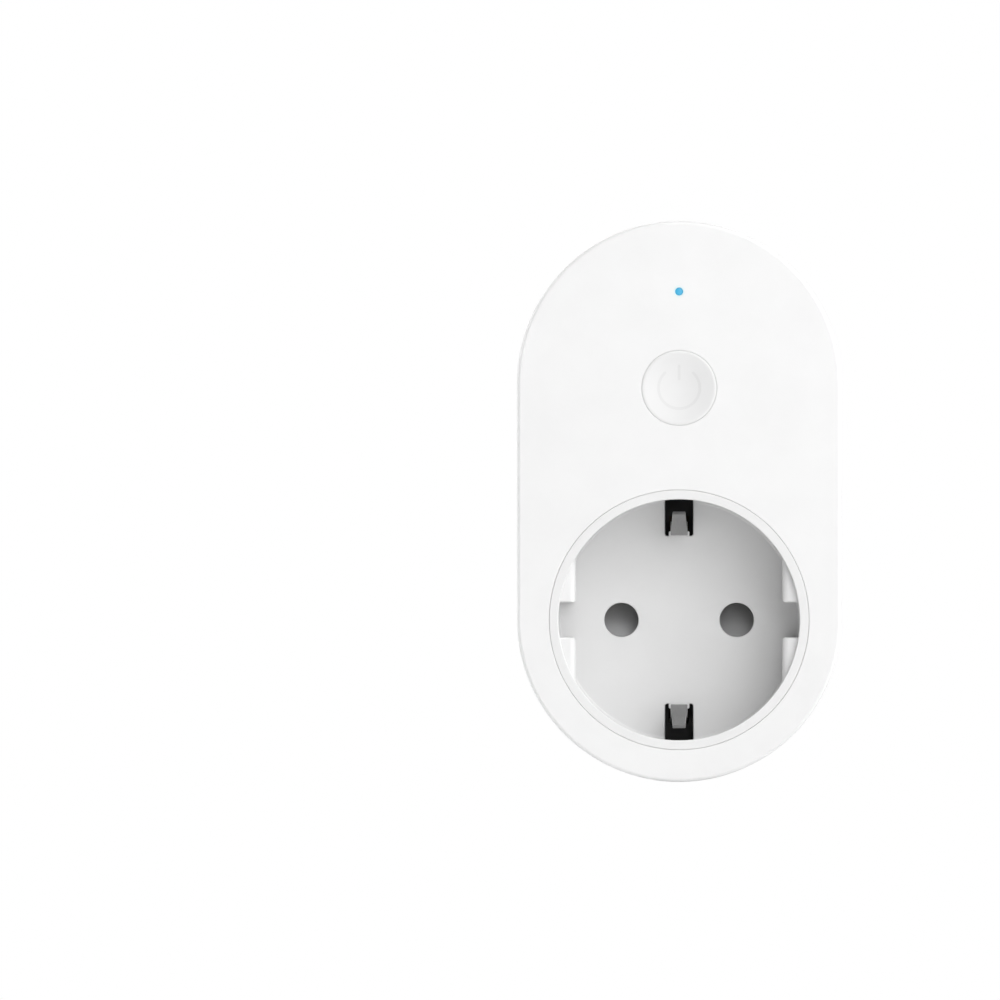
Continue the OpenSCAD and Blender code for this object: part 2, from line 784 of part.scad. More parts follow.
// A coil wound on a drum with two flanges.
module filter_inductor() {
  color("saddlebrown") upright() translate([5.5, 15.5, 0]) {
    rod(4.2, board_z - 10, board_z - 8.8);
    rod(3.6, board_z - 8.8, board_z - 1.2);
    rod(4.2, board_z - 1.2, board_z);
  }
}

module safety_capacitor() color("gold") upright() cased([-5, -10.5], [8, -5.5], 11, 0.6, 0.3);

// A disc on two leads.
module varistor() {
  disc_r = 5;
  color("royalblue") upright() translate([-4.5, 15.5, board_z - disc_r - 0.8]) {
    rotate([-90, 0, 0]) cylinder(r = disc_r, h = 4);
    for (x = [-2.5, 2.5]) translate([x, 2, 0]) rod(0.4, disc_r * 0.7, disc_r + 0.8);
  }
}

// A wirewound resistor lying on its two bent leads.
module fuse_resistor() {
  color("green") upright() translate([0, 2, board_z - 3]) {
    translate([-4.5, 0, 0]) rotate([0, 90, 0]) cylinder(r = 1.8, h = 9);
    for (s = [-1, 1]) scale([s, 1, 1]) {
      translate([4, 0, 0]) rotate([0, 90, 0]) cylinder(r = 0.35, h = 2.3);
      translate([6, 0, 0]) rod(0.35, 0, 3);
    }
  }
}

// A chip's body with a row of legs on each of its long sides.
module chip(size, legs, leg_pitch) {
  block([-size[0] / 2, -size[1] / 2, 0.1], [size[0] / 2, size[1] / 2, size[2]]);
  for (i = [0 : legs - 1], s = [-1, 1]) scale([1, s, 1])
    translate([(i - (legs - 1) / 2) * leg_pitch, 0, 0])
      block([-0.2, size[1] / 2 - 0.3, 0], [0.2, size[1] / 2 + 0.9, 0.35]);
}

module bridge_rectifier() {
  color("black") upright() translate([1.5, 8.2, board_z]) mirror([0, 0, 1]) chip([5, 4.2, 2.6], 2, 2.54);
}

module power_chip() {
  color("black") upright() translate([8.4, 7.5, board_z]) mirror([0, 0, 1]) chip([4.9, 3.9, 1.5], 4, 1.27);
}

module meter_chip() {
  color("black") upright() translate([-13, -6, board_top]) chip([9.9, 3.9, 1.5], 8, 1.27);
}

module shunt_resistor() {
  end_w = 1;
  color("dimgray") upright() difference() {
    block([-1, -12.6, board_top], [5.4, -9.4, board_top + 0.7]);
    block([-1 + end_w, -12.6 - over, board_top + 0.6], [5.4 - end_w, -9.4 + over, board_top + 0.7 + over]);
  }
}

module housing_screws() {
  color("silver") upright() at_housing_screws()
    screw(screw_head_r, screw_head_t, screw_shank_r, back_z + screw_recess_t, cover_z + 10);
}

front_shell();
rear_cover();
plug_base();
socket_cup();
power_button();
led_lens();
status_led();
tact_switch();
switch_plunger();
main_board();
wifi_board();
wifi_shield();
relay();
bulk_capacitors();
filter_inductor();
safety_capacitor();
varistor();
fuse_resistor();
bridge_rectifier();
power_chip();
meter_chip();
shunt_resistor();
live_plug_pin();
neutral_plug_pin();
pin_retainer();
retainer_screws();
plug_earth_strip_upper();
plug_earth_strip_lower();
earth_pin_sleeve();
earth_bar();
earth_clip_upper();
earth_clip_lower();
live_bar_in();
live_bar_out();
neutral_bar();
live_contact();
neutral_contact();
contact_carrier();
carrier_screws();
shutter_frame();
shutter_slider();
shutter_spring();
housing_screws();
board_screws();
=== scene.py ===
import json
import math

import bmesh
import bpy
from mathutils import Matrix, Vector

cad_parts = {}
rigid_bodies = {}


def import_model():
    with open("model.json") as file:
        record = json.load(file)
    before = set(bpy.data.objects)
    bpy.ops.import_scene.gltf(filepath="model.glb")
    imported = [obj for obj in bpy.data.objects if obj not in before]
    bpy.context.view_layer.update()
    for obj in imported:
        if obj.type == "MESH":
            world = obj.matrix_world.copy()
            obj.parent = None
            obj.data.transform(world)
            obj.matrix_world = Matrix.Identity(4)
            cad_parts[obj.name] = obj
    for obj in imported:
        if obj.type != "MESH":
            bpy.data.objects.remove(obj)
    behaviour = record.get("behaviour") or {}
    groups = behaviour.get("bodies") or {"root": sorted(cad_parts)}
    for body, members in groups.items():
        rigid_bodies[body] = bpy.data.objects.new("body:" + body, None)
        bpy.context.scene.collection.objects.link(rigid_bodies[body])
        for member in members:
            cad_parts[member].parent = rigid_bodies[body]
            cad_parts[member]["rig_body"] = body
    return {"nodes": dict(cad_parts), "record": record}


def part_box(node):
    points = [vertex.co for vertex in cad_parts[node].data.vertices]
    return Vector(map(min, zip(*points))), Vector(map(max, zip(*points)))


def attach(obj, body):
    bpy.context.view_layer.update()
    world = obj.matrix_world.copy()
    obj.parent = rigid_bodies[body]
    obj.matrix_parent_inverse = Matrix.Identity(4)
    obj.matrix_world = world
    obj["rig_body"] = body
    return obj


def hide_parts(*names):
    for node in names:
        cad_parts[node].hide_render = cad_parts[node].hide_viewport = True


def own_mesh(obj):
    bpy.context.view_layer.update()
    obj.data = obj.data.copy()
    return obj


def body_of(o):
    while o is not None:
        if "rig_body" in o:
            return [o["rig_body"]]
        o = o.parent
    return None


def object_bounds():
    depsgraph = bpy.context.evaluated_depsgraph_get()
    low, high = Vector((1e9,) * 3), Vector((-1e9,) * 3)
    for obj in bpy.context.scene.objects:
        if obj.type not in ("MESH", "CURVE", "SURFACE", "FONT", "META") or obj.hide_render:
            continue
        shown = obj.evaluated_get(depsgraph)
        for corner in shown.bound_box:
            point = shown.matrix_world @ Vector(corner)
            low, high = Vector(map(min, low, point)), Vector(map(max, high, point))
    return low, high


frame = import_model()
cad_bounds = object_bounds()

# Shapes are drawn in millimetres in a flat frame: x to the right, y up, z towards the front.
# STAND_UP turns that frame into the model's own, in metres.
MM = 0.001
STAND_UP = Matrix.Scale(MM, 4) @ Matrix.Rotation(math.radians(90), 4, "X")
OVER = 1.0  # how far a cutting shape runs past what it cuts
ROOT = 0.5  # how far a boss runs into the wall that it stands on
SLIVER = 0.002  # keeps two faces out of one plane


def flat_box(node):
    """The lowest and highest corners of a CAD node, in the flat frame."""
    low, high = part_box(node)
    return Vector((low.x, low.z, -high.y)) / MM, Vector((high.x, high.z, -low.y)) / MM


# ---- Sizes, from the frame ----

shell_low, shell_high = flat_box("front_shell")
cup_low, cup_high = flat_box("socket_cup")
plug_low, plug_high = flat_box("plug_base")
button_low = flat_box("power_button")[0]

BODY_R = (shell_high.x - shell_low.x) / 2
FRONT = shell_high.z
BACK = shell_low.z
PLUG_Y = shell_high.y - BODY_R
SOCKET_Y = shell_low.y + BODY_R
WALL = 2
FACE = FRONT - WALL  # inner surface of the front face
CAVITY_R = BODY_R - WALL
FRONT_EDGE = 0.6
BACK_EDGE = 0.4
CUP_GAP = 0.03
BUTTON_GAP = 0.02
LENS_GAP = 0.03
SEAM_LIP = 0.12  # rounding of the edges beside a seam
BUTTON_LIP = 0.2
LENS_LIP = 0.06
BOSS_OFF = 15.9  # offset of a housing screw from the plug's or the socket's axis
BOSS_R = 2.5
BOSS_BORE_R = 1.3
BOSS_BORE_DEPTH = 11
LOWER_BOSS_SHORT = 2  # how far below the recess's floor a lower boss stops

# Rear cover
COVER_GAP = 0.2  # gap round the rear cover
COVER_TOP = BACK + 2.2
COVER_POST_X = 13.6
COVER_POST_Y = 9.5
COVER_POST_R = 1.8
COVER_POST_TOP = flat_box("rear_cover")[1].z
COVER_BORE_R = 1.4
POCKET_R = 3.5  # pocket for the tip of an appliance's pin
POCKET_FLOOR_T = 1.1
PANEL_Y = -40  # centre of the blank sunk panel on the back
PANEL_HALF_W = 15
PANEL_HALF_H = 10
PANEL_DEPTH = 0.25
SCREW_RECESS_R = 2.4
SCREW_RECESS_DEPTH = 1.4
EARTH_BAR_Z = COVER_TOP + 2.7

# Socket
FLANGE_R = (cup_high.x - cup_low.x) / 2
CUP_R = 21.4
RECESS_R = 19.85
FLOOR = FRONT - 15
FLOOR_UNDER = FLOOR - 1.8
FLANGE_UNDER = FACE - 1.4
PIN_X = 9.5
HOLE_R = 2.8
KEY_FLAT = 17.0
KEY_SLOT = 2.9
KEY_TOP = FRONT - 1.2
KEY_EDGE = 1.1
CARRIER_SCREW_X = 16.4
CARRIER_LOW = FLOOR_UNDER - 8.4
CARRIER_BOSS_R = 2
CARRIER_BOSS_LOW = FLOOR_UNDER - 3
SMALL_BORE_R = 1.1  # bore for a board or carrier screw
SLOT_HALF_W = 2.3  # earth clip's slot
SLOT_INNER = 13.85
SLOT_TOP = FRONT - 3.9
TAB_HALF_W = 1.7  # tab of the floor in an earth clip's slot
TAB_INNER = 13.4
TAB_OUTER = 14.6
CLIP_T = 0.6
CLIP_TIP = FRONT - 4.6
CLIP_NOSE = FRONT - 9.5  # where a clip stands furthest into the recess

# Plug
PLUG_R = 18.4
PLUG_FLAT = 16.2
RIB = 2.15
GROOVE = 2.4
GROOVE_FLOOR = 16.6
PLUG_FLANGE_R = (plug_high.x - plug_low.x) / 2
PLUG_HOLLOW_R = 15.2
PLUG_FACE_T = 3
PLUG_GAP = 0.1  # gap between the rear cover and the plug base
PIN_COLLAR_R = 2.75
RETAINER_LOW = 4.2
RETAINER_TOP = 6.2
RETAINER_SCREW = (4, -8.5)
RETAINER_BOSS_R = 2.4
RETAINER_BORE_R = 1
RETAINER_BORE_END = 1.2
STRIP_W = 4  # earth strip
STRIP_T = 0.8
EARTH_HOLE_R = 2.5
EARTH_HOLE_Y = 10

# Board, button and light
BOARD_LOW = FRONT - 12.8
BOARD_TOP = FRONT - 11.2
POST_X = 19.5
POST_Y = -11.5
POST_R = 2.25
BUTTON_R = 6.2
BUTTON_FLANGE_R = 7.6
BUTTON_Y = button_low.y + BUTTON_FLANGE_R
GUIDE_R = 8
GUIDE_DEPTH = 3
GUIDE_WALL = 1
DISH_R = 5.7
DISH_DEPTH = 0.4
DISH_SPHERE = (DISH_R**2 + DISH_DEPTH**2) / (2 * DISH_DEPTH)
MARK_R = 3.4
MARK_GAP = 86  # angle left open at the top of the mark
MARK_BAR = (1.5, 3.6)  # lower and upper ends of the mark's upright stroke
MARK_HALF_W = 0.23
MARK_DEPTH = 0.03
LENS_Y = sum(corner.y for corner in flat_box("led_lens")) / 2
LENS_R = 0.625
LENS_COLLAR_R = 2.3
LENS_BORE_R = 1.5

# Rounding of the edges of the moulded, cut and folded parts inside
SOFT_EDGES = {
    "relay": 0.25, "safety_capacitor": 0.3, "wifi_shield": 0.1, "contact_carrier": 0.2,
    "shutter_frame": 0.15, "shutter_slider": 0.2, "pin_retainer": 0.2, "earth_bar": 0.1,
    "live_bar_in": 0.1, "live_bar_out": 0.1, "neutral_bar": 0.1, "live_contact": 0.08,
    "neutral_contact": 0.08, "tact_switch": 0.12, "switch_plunger": 0.2, "bridge_rectifier": 0.1,
    "power_chip": 0.08, "meter_chip": 0.08, "shunt_resistor": 0.06, "varistor": 0.5,
    "filter_inductor": 0.2, "fuse_resistor": 0.3, "wifi_board": 0.05, "status_led": 0.05,
}

SLOT_OF = {entry["node"]: entry["material_slot"] for entry in frame["record"]["subparts"]}


# ---- Shapes ----

def rounded(points, radii, closed=True, step=math.radians(15)):
    """An outline with its corners turned into arcs. radii is one radius, or one for each corner."""
    points = [Vector(p) for p in points]
    count = len(points)
    if not isinstance(radii, (list, tuple)):
        radii = [radii] * count
    outline = []
    for i, corner in enumerate(points):
        is_end = not closed and i in (0, count - 1)
        if radii[i] == 0 or is_end:
            outline.append(corner)
            continue
        to_last = (points[i - 1] - corner).normalized()
        to_next = (points[(i + 1) % count] - corner).normalized()
        half = to_last.angle(to_next) / 2
        centre = corner + (to_last + to_next).normalized() * radii[i] / math.sin(half)
        start = corner + to_last * radii[i] / math.tan(half) - centre
        end = corner + to_next * radii[i] / math.tan(half) - centre
        sweep = math.atan2(start.x * end.y - start.y * end.x, start.dot(end))
        steps = max(1, math.ceil(abs(sweep) / step))
        for k in range(steps + 1):
            outline.append(centre + Matrix.Rotation(sweep * k / steps, 2) @ start)
    return outline


def arc(centre, radius, start, end, steps):
    """Points on an arc, with its angles in degrees."""
    angles = [math.radians(start + (end - start) * k / steps) for k in range(steps + 1)]
    return [Vector((centre[0] + radius * math.cos(a), centre[1] + radius * math.sin(a))) for a in angles]


def inset(outline, distance):
    """A closed anticlockwise outline moved inwards, or outwards if distance is negative."""
    moved = []
    count = len(outline)
    for i, point in enumerate(outline):
        before = (point - outline[i - 1]).normalized()
        after = (outline[(i + 1) % count] - point).normalized()
        normal_a = Vector((-before.y, before.x))
        normal_b = Vector((-after.y, after.x))
        mitre = (normal_a + normal_b).normalized()
        moved.append(point + mitre * distance / max(mitre.dot(normal_a), 0.3))
    return moved


def loft(loops):
    """A closed surface through loops that all have the same number of points."""
    bm = bmesh.new()
    rings = [[bm.verts.new(p) for p in loop] for loop in loops]
    for low, high in zip(rings, rings[1:]):
        for i in range(len(low)):
            j = (i + 1) % len(low)
            bm.faces.new((low[i], low[j], high[j], high[i]))
    bm.faces.new(list(reversed(rings[0])))
    bm.faces.new(rings[-1])
    return bm


def tidy(bm):
    """Merges points that meet, drops faces that have no area and turns every face outwards."""
    bmesh.ops.remove_doubles(bm, verts=bm.verts, dist=1e-4)
    bmesh.ops.dissolve_degenerate(bm, edges=bm.edges, dist=1e-4)
    bmesh.ops.recalc_face_normals(bm, faces=bm.faces)
    if bm.calc_volume(signed=True) < 0:
        bmesh.ops.reverse_faces(bm, faces=bm.faces)
    return bm


def lathe(profile, centre=(0, 0), steps=144):
    """A solid of revolution about an upright axis through centre, from (radius, z) points."""
    x, y = centre
    angles = [2 * math.pi * k / steps for k in range(steps)]
    loops = []
    for radius, z in profile:
        loops.append([Vector((x + radius * math.cos(a), y + radius * math.sin(a), z)) for a in angles])
    return tidy(loft(loops))


def prism(outline, levels):
    """A solid whose cross-section is outline(inset) at each (z, inset) level."""
    return tidy(loft([[Vector((p.x, p.y, z)) for p in outline(distance)] for z, distance in levels]))


def levels(z0, z1, low_r=0.0, high_r=0.0, steps=5):
    """The levels of a prism from z0 to z1 with rounded edges at its ends."""
    low, high = [(z0, 0)], [(z1, 0)]
    if low_r:
        low = [(z0 + low_r * (1 - math.cos(a)), low_r * (1 - math.sin(a))) for a in quarter(steps)]
    if high_r:
        high = [(z1 - high_r * (1 - math.sin(a)), high_r * (1 - math.cos(a))) for a in quarter(steps)]
    return low + high


def quarter(steps):
    """Angles from 0 to a right angle."""
    return [math.pi / 2 * k / steps for k in range(steps + 1)]


def shape(points):
    """A polygon as a cross-section for prism."""
    return lambda distance: inset(points, distance)


def pill(radius, steps=72):
    """The body's outline: two half circles joined by straight sides, as a cross-section for prism."""

    def outline(distance):
        top = arc((0, PLUG_Y), radius - distance, 0, 180, steps)
        return top + arc((0, SOCKET_Y), radius - distance, 180, 360, steps)

    return outline


def rectangle(low, high, radius=0.0):
    """A rectangle with rounded corners, as a polygon."""
    corners = [(low[0], low[1]), (high[0], low[1]), (high[0], high[1]), (low[0], high[1])]
    return rounded(corners, radius)


def disc(radius, z0, z1, centre=(0, 0), steps=96):
    """An upright cylinder."""
    return lathe([(0, z0), (radius, z0), (radius, z1), (0, z1)], centre, steps)


def hole(radius, z0, z1, centre=(0, 0), lip=0.0, lip_low=0.0, steps=96, slope=1.0):
    """A cutter for a hole through z0 to z1 whose edge is rounded at z1 or at z0.

    slope is how deep a rounded edge is for its width.
    """
    low, high = [], []
    for a in quarter(4):
        falling, rising = 1 - math.sin(a), 1 - math.cos(a)
        if lip_low:
            low.append((radius + lip_low * falling, z0 + slope * lip_low * rising))
        if lip:
            high.append((radius + lip * rising, z1 - slope * lip * falling + SLIVER))
    profile = [(0, z0 - OVER), (radius + lip_low, z0 - OVER)] + low
    profile += high + [(radius + lip, z1 + OVER), (0, z1 + OVER)]
    return lathe(profile, centre, steps)


def mirrored(bm):
    """The shape and its mirror image across x, as one mesh."""
    copy = bm.copy()
    bmesh.ops.scale(copy, vec=(-1, 1, 1), verts=copy.verts)
    bmesh.ops.reverse_faces(copy, faces=copy.faces)
    return joined([bm, copy])


def joined(meshes):
    """Separate shapes as one mesh."""
    mesh = bpy.data.meshes.new("joined")
    bm = bmesh.new()
    for part in meshes:
        part.to_mesh(mesh)
        part.free()
        bm.from_mesh(mesh)
    bpy.data.meshes.remove(mesh)
    return bm


def work_object(bm):
    """A shape as a scene object, for a modifier to work on."""
    mesh = bpy.data.meshes.new("work")
    bm.to_mesh(mesh)
    bm.free()
    obj = bpy.data.objects.new("work", mesh)
    bpy.context.scene.collection.objects.link(obj)
    return obj


def combined(bm, others, operation):
    """The shape with others added to it (UNION), cut from it (DIFFERENCE) or kept in it (INTERSECT)."""
    base = work_object(bm)
    tools = [work_object(other) for other in others]
    for tool in tools:
        modifier = base.modifiers.new("combine", "BOOLEAN")
        modifier.operation = operation
        modifier.solver = "MANIFOLD"
        modifier.object = tool
    graph = bpy.context.evaluated_depsgraph_get()
    result = bpy.data.meshes.new_from_object(base.evaluated_get(graph))
    out = bmesh.new()
    out.from_mesh(result)
    if not out.faces:
        raise ValueError(f"{operation} left nothing")
    for obj in [base] + tools:
        mesh = obj.data
        bpy.data.objects.remove(obj)
        bpy.data.meshes.remove(mesh)
    bpy.data.meshes.remove(result)
    return out


def smooth_object(name, bm):
    """A shape as a smooth-shaded object in the scene."""
    mesh = bpy.data.meshes.new(name)
    bm.to_mesh(mesh)
    bm.free()
    for polygon in mesh.polygons:
        polygon.use_smooth = True
    obj = bpy.data.objects.new(name, mesh)
    bpy.context.scene.collection.objects.link(obj)
    return obj


def stand_for(obj, node, body):
    """Gives a piece its CAD node's finish and puts it on its body in the node's place."""
    obj.data.materials.append(finish_of(node))
    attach(obj, body)
    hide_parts(node)


def piece(name, bm, node, body="housing"):
    """Puts a finished shape into the scene, on its body, in place of its CAD node."""
    bmesh.ops.transform(bm, matrix=STAND_UP, verts=bm.verts)
    obj = smooth_object(name, bm)
    obj.data.set_sharp_from_angle(angle=math.radians(32))
    weighted = obj.modifiers.new("normals", "WEIGHTED_NORMAL")
    weighted.keep_sharp = True
    weighted.weight = 100
    stand_for(obj, node, body)
    return obj


# ---- Materials ----

class Nodes:
    """Adds nodes to a material and wires them up."""

    def __init__(self, name):
        self.material = bpy.data.materials.new(name)
        self.material.use_nodes = True
        self.tree = self.material.node_tree
        self.shader = self.tree.nodes["Principled BSDF"]
        self.place = self.add("ShaderNodeTexCoord").outputs["Object"]

    def add(self, kind, **values):
        """Adds a node. A value whose name is an input's goes there, and any other sets a property."""
        made = self.tree.nodes.new(kind)
        for key, value in values.items():
            label = key.replace("_", " ")
            if label in made.inputs:
                self.set(made.inputs[label], value)
            else:
                setattr(made, key, value)
        return made

    def set(self, socket, value):
        """Links a node's output to the socket, or sets a constant on it."""
        if isinstance(value, bpy.types.NodeSocket):
            self.tree.links.new(value, socket)
        else:
            socket.default_value = value

    def noise(self, size_mm, detail=2.0, rough=0.5, stretch=(1, 1, 1)):
        """Noise whose lumps are about size_mm across, stretched along an axis."""
        mapping = self.add("ShaderNodeMapping", Vector=self.place)
        mapping.inputs["Scale"].default_value = stretch
        made = self.add("ShaderNodeTexNoise", Vector=mapping.outputs[0], Scale=1 / (size_mm * MM))
        made.inputs["Detail"].default_value = detail
        made.inputs["Roughness"].default_value = rough
        return made.outputs[0]

    def distance(self, centre):
        """The distance from a place, in metres."""
        made = self.add("ShaderNodeVectorMath", operation="DISTANCE")
        self.set(made.inputs[0], self.place)
        made.inputs[1].default_value = centre
        return made.outputs["Value"]

    def between(self, value, low, high, from_low=0.3, from_high=0.7):
        """Maps a value, such as noise, onto a range of numbers."""
        made = self.add("ShaderNodeMapRange")
        made.inputs["Value"].default_value = 0
        self.set(made.inputs["Value"], value)
        made.inputs["From Min"].default_value = from_low
        made.inputs["From Max"].default_value = from_high
        made.inputs["To Min"].default_value = low
        made.inputs["To Max"].default_value = high
        return made.outputs[0]

    def colours(self, value, stops):
        """A colour ramp through (position, colour) stops."""
        ramp = self.add("ShaderNodeValToRGB")
        self.set(ramp.inputs["Fac"], value)
        elements = ramp.color_ramp.elements
        while len(elements) < len(stops):
            elements.new(0.5)
        for element, (position, colour) in zip(elements, stops):
            element.position = position
            element.color = (*colour, 1)
        return ramp.outputs["Color"]

    def times(self, colour, tint):
        """A colour multiplied by another."""
        made = self.add("ShaderNodeVectorMath", operation="MULTIPLY")
        self.set(made.inputs[0], colour)
        self.set(made.inputs[1], tint)
        return made.outputs[0]

    def bump(self, height, depth_mm, strength=1.0, below=None):
        """A normal tilted by height, over the normal of the bump below it."""
        made = self.add("ShaderNodeBump", Height=height, Strength=strength, Distance=depth_mm * MM)
        if below is not None:
            self.set(made.inputs["Normal"], below)
        return made.outputs[0]

    def finish(self, **values):
        """Sets the shader's inputs and returns the material."""
        for key, value in values.items():
            self.set(self.shader.inputs[key.replace("_", " ")], value)
        return self.material


def shade(colour, factor):
    """A colour made darker or lighter, with no part above 1."""
    return tuple(min(1.0, c * factor) for c in colour)


def painted_lens_glow(n, tone):
    """The tone with the light's glow painted onto the plastic round the lens, as a blue tint that fades
    outwards: painted light.
    """
    spread = n.between(n.distance(LENS_TIP), 0, 1, LENS_R * MM, (LENS_R + PAINTED_GLOW_W) * MM)
    stops = [(0.0, PAINTED_GLOW_TINT), (0.4, shade(PAINTED_GLOW_TINT, 1.25)), (1.0, NO_TINT)]
    return n.times(tone, n.colours(spread, stops))


def mark_darker_in_groove(n, tone):
    """The tone, darker in the power mark, where the surface lies below the button's hollow top."""
    shallow, deep = (DISH_SPHERE + share * MARK_DEPTH for share in (0.4, 0.8))
    below = n.between(n.distance(DISH_CENTRE), 0, 1, shallow * MM, deep * MM)
    near = n.between(n.distance(DISH_BOTTOM), 1, 0, (MARK_R + 0.5) * MM, (MARK_R + 0.8) * MM)
    both = n.add("ShaderNodeMath", operation="MULTIPLY")
    n.set(both.inputs[0], below)
    n.set(both.inputs[1], near)
    return n.times(tone, n.colours(both.outputs[0], [(0.0, NO_TINT), (1.0, MARK_TINT)]))


def moulded(name, colour, roughness=0.42, grain_mm=0.16, grain_depth=0.004, extra=None):
    """Moulded plastic: a fine spark-eroded grain, and slight changes of tone and gloss.

    extra is a function that changes the tone at one place on the piece.
    """
    n = Nodes(name)
    vary = 0.015
    stops = [(0.3, shade(colour, 1 - vary)), (0.5, colour), (0.7, shade(colour, 1 + vary))]
    tone = n.colours(n.noise(9, 3), stops)
    if extra:
        tone = extra(n, tone)
    grain = n.noise(grain_mm, 2, 0.6)
    flow = n.noise(14, 2)
    return n.finish(
        Base_Color=tone,
        Roughness=n.between(n.noise(1.1, 3), roughness - 0.04, roughness + 0.04),
        Normal=n.bump(grain, grain_depth, 0.5, n.bump(flow, 0.02, 0.15)),
        IOR=1.49,
        Specular_IOR_Level=0.5,
    )


def metal(name, colour, roughness, stretch=(1, 1, 1), scratch_mm=0.12, depth=0.002):
    """Plated or bare metal, with drawing or turning marks along one direction and faint stains."""
    n = Nodes(name)
    vary = 0.05
    tone = n.colours(n.noise(3, 4), [(0.3, shade(colour, 1 - vary)), (0.7, shade(colour, 1 + vary))])
    marks = n.noise(scratch_mm, 3, 0.6, stretch)
    return n.finish(
        Base_Color=tone,
        Metallic=1.0,
        Roughness=n.between(n.noise(0.8, 3, 0.6, stretch), roughness * 0.75, roughness * 1.3),
        Normal=n.bump(marks, depth, 0.6),
    )


def board(name, colour):
    """A circuit board: copper tracks show as paler bands under its lacquer."""
    n = Nodes(name)
    tracks = n.add("ShaderNodeTexBrick", Vector=n.place, Scale=260.0, offset=0.37, squash=1.6)
    tracks.inputs["Mortar Size"].default_value = 0.03
    tracks.inputs["Bias"].default_value = 0.2
    track = tracks.outputs["Fac"]
    weave = n.noise(0.25, 2)
    return n.finish(
        Base_Color=n.colours(track, [(0.0, colour), (1.0, shade(colour, 2.2))]),
        Roughness=n.between(weave, 0.25, 0.4),
        Normal=n.bump(track, 0.03, 0.5, n.bump(weave, 0.004)),
    )


def glowing(name, colour):
    """A clear lens lit from behind, brightest in the middle."""
    n = Nodes(name)
    outward = n.between(n.distance(LENS_TIP), 0, 1, 0, LENS_R * MM * 1.4)
    stops = [(0.0, shade(colour, 1.15)), (0.75, colour), (1.0, shade(colour, 0.8))]
    ripple = n.noise(0.2, 2)
    return n.finish(
        Base_Color=(0.02, 0.08, 0.15, 1),
        Emission_Color=n.colours(outward, stops),
        Emission_Strength=1.0,
        Roughness=n.between(ripple, 0.15, 0.25),
        Normal=n.bump(ripple, 0.002),
    )


WHITE = (0.73, 0.73, 0.73)
BLACK = (0.02, 0.02, 0.02)
NO_TINT = (1, 1, 1)
# Painted light: the tint and width of the lens's glow, painted onto the housing round the lens
PAINTED_GLOW_TINT = (0.7, 0.9, 0.98)
PAINTED_GLOW_W = 0.45
MARK_TINT = (0.94, 0.94, 0.94)

# Places that the materials measure from, in the model's frame
LENS_TIP = Vector((0, -FRONT, LENS_Y)) * MM
DISH_CENTRE = Vector((0, -(FRONT - DISH_DEPTH + DISH_SPHERE), BUTTON_Y)) * MM
DISH_BOTTOM = Vector((0, -(FRONT - DISH_DEPTH), BUTTON_Y)) * MM

# Each slot's kind of material, its colour and what else it takes
FINISHES = {
    # The housing's white carries the lens's glow, painted into its colour
    "housing_white": (moulded, WHITE, dict(extra=painted_lens_glow)),
    "socket_white": (moulded, shade(WHITE, 0.95), dict(roughness=0.38)),
    "button_white": (moulded, shade(WHITE, 0.93), dict(roughness=0.36, grain_depth=0.002, extra=mark_darker_in_groove)),
    "lens_blue": (glowing, (0.036, 0.33, 0.52), {}),
    "led_white": (moulded, (0.8, 0.78, 0.7), {}),
    "shutter_grey": (moulded, (0.36, 0.36, 0.365), dict(roughness=0.45)),
    # Near-black insulating plastic, such as the contact carrier's: partly its own colour, and partly painted
    # shade, as this dark tone stands in for the shade deep in the earth slots
    "insulator_dark": (moulded, (0.03, 0.03, 0.03), dict(roughness=0.55, grain_mm=0.3, grain_depth=0.01)),
    "insulator_pale": (moulded, (0.7, 0.7, 0.68), dict(roughness=0.5)),
    "switch_black": (moulded, BLACK, {}),
    "nickel": (metal, (0.78, 0.77, 0.75), dict(roughness=0.32, stretch=(1, 12, 1))),
    "earth_steel": (metal, (0.36, 0.36, 0.36), dict(roughness=0.38, stretch=(8, 1, 1))),
    "brass": (metal, (0.75, 0.56, 0.26), dict(roughness=0.3, stretch=(1, 1, 6))),
    # Painted shade: the earth bar's bronze is made nearly black, far darker than bronze itself, so that it
    # shows as shade behind the earth slots
    "bronze": (metal, (0.08, 0.065, 0.05), dict(roughness=0.5, stretch=(1, 1, 6))),
    "screw_steel": (metal, (0.55, 0.55, 0.56), dict(roughness=0.32)),
    "spring_steel": (metal, (0.5, 0.5, 0.5), dict(roughness=0.3)),
    "board_green": (board, (0.01, 0.09, 0.035), {}),
    "board_blue": (board, (0.01, 0.03, 0.12), {}),
    "shield_steel": (metal, (0.6, 0.6, 0.6), dict(roughness=0.35, stretch=(1, 1, 8))),
    "relay_blue": (moulded, (0.02, 0.13, 0.45), dict(roughness=0.3)),
    "capacitor_blue": (moulded, (0.02, 0.03, 0.09), dict(roughness=0.25)),
    "capacitor_yellow": (moulded, (0.72, 0.5, 0.04), dict(roughness=0.3)),
    "varistor_blue": (moulded, (0.03, 0.1, 0.36), dict(roughness=0.35, grain_mm=0.5, grain_depth=0.03)),
    "coil_brown": (
        metal, (0.35, 0.13, 0.05), dict(roughness=0.35, stretch=(0.2, 6, 0.2), scratch_mm=0.4, depth=0.05)
    ),
    "resistor_green": (moulded, (0.06, 0.2, 0.1), dict(roughness=0.6, grain_mm=0.4, grain_depth=0.03)),
    "chip_black": (moulded, BLACK, dict(roughness=0.6)),
}
MATERIALS = {slot: make(slot, colour, **values) for slot, (make, colour, values) in FINISHES.items()}


def finish_of(node):
    """The material of a CAD node's slot."""
    return MATERIALS[SLOT_OF[node]]


for name, obj in frame["nodes"].items():
    obj.data.materials.clear()
    obj.data.materials.append(finish_of(name))


# ---- Housing ----

def at_corners():
    """The centres of the four housing screws."""
    return [(side * BOSS_OFF, y) for side in (-1, 1) for y in (PLUG_Y + BOSS_OFF, SOCKET_Y - BOSS_OFF)]


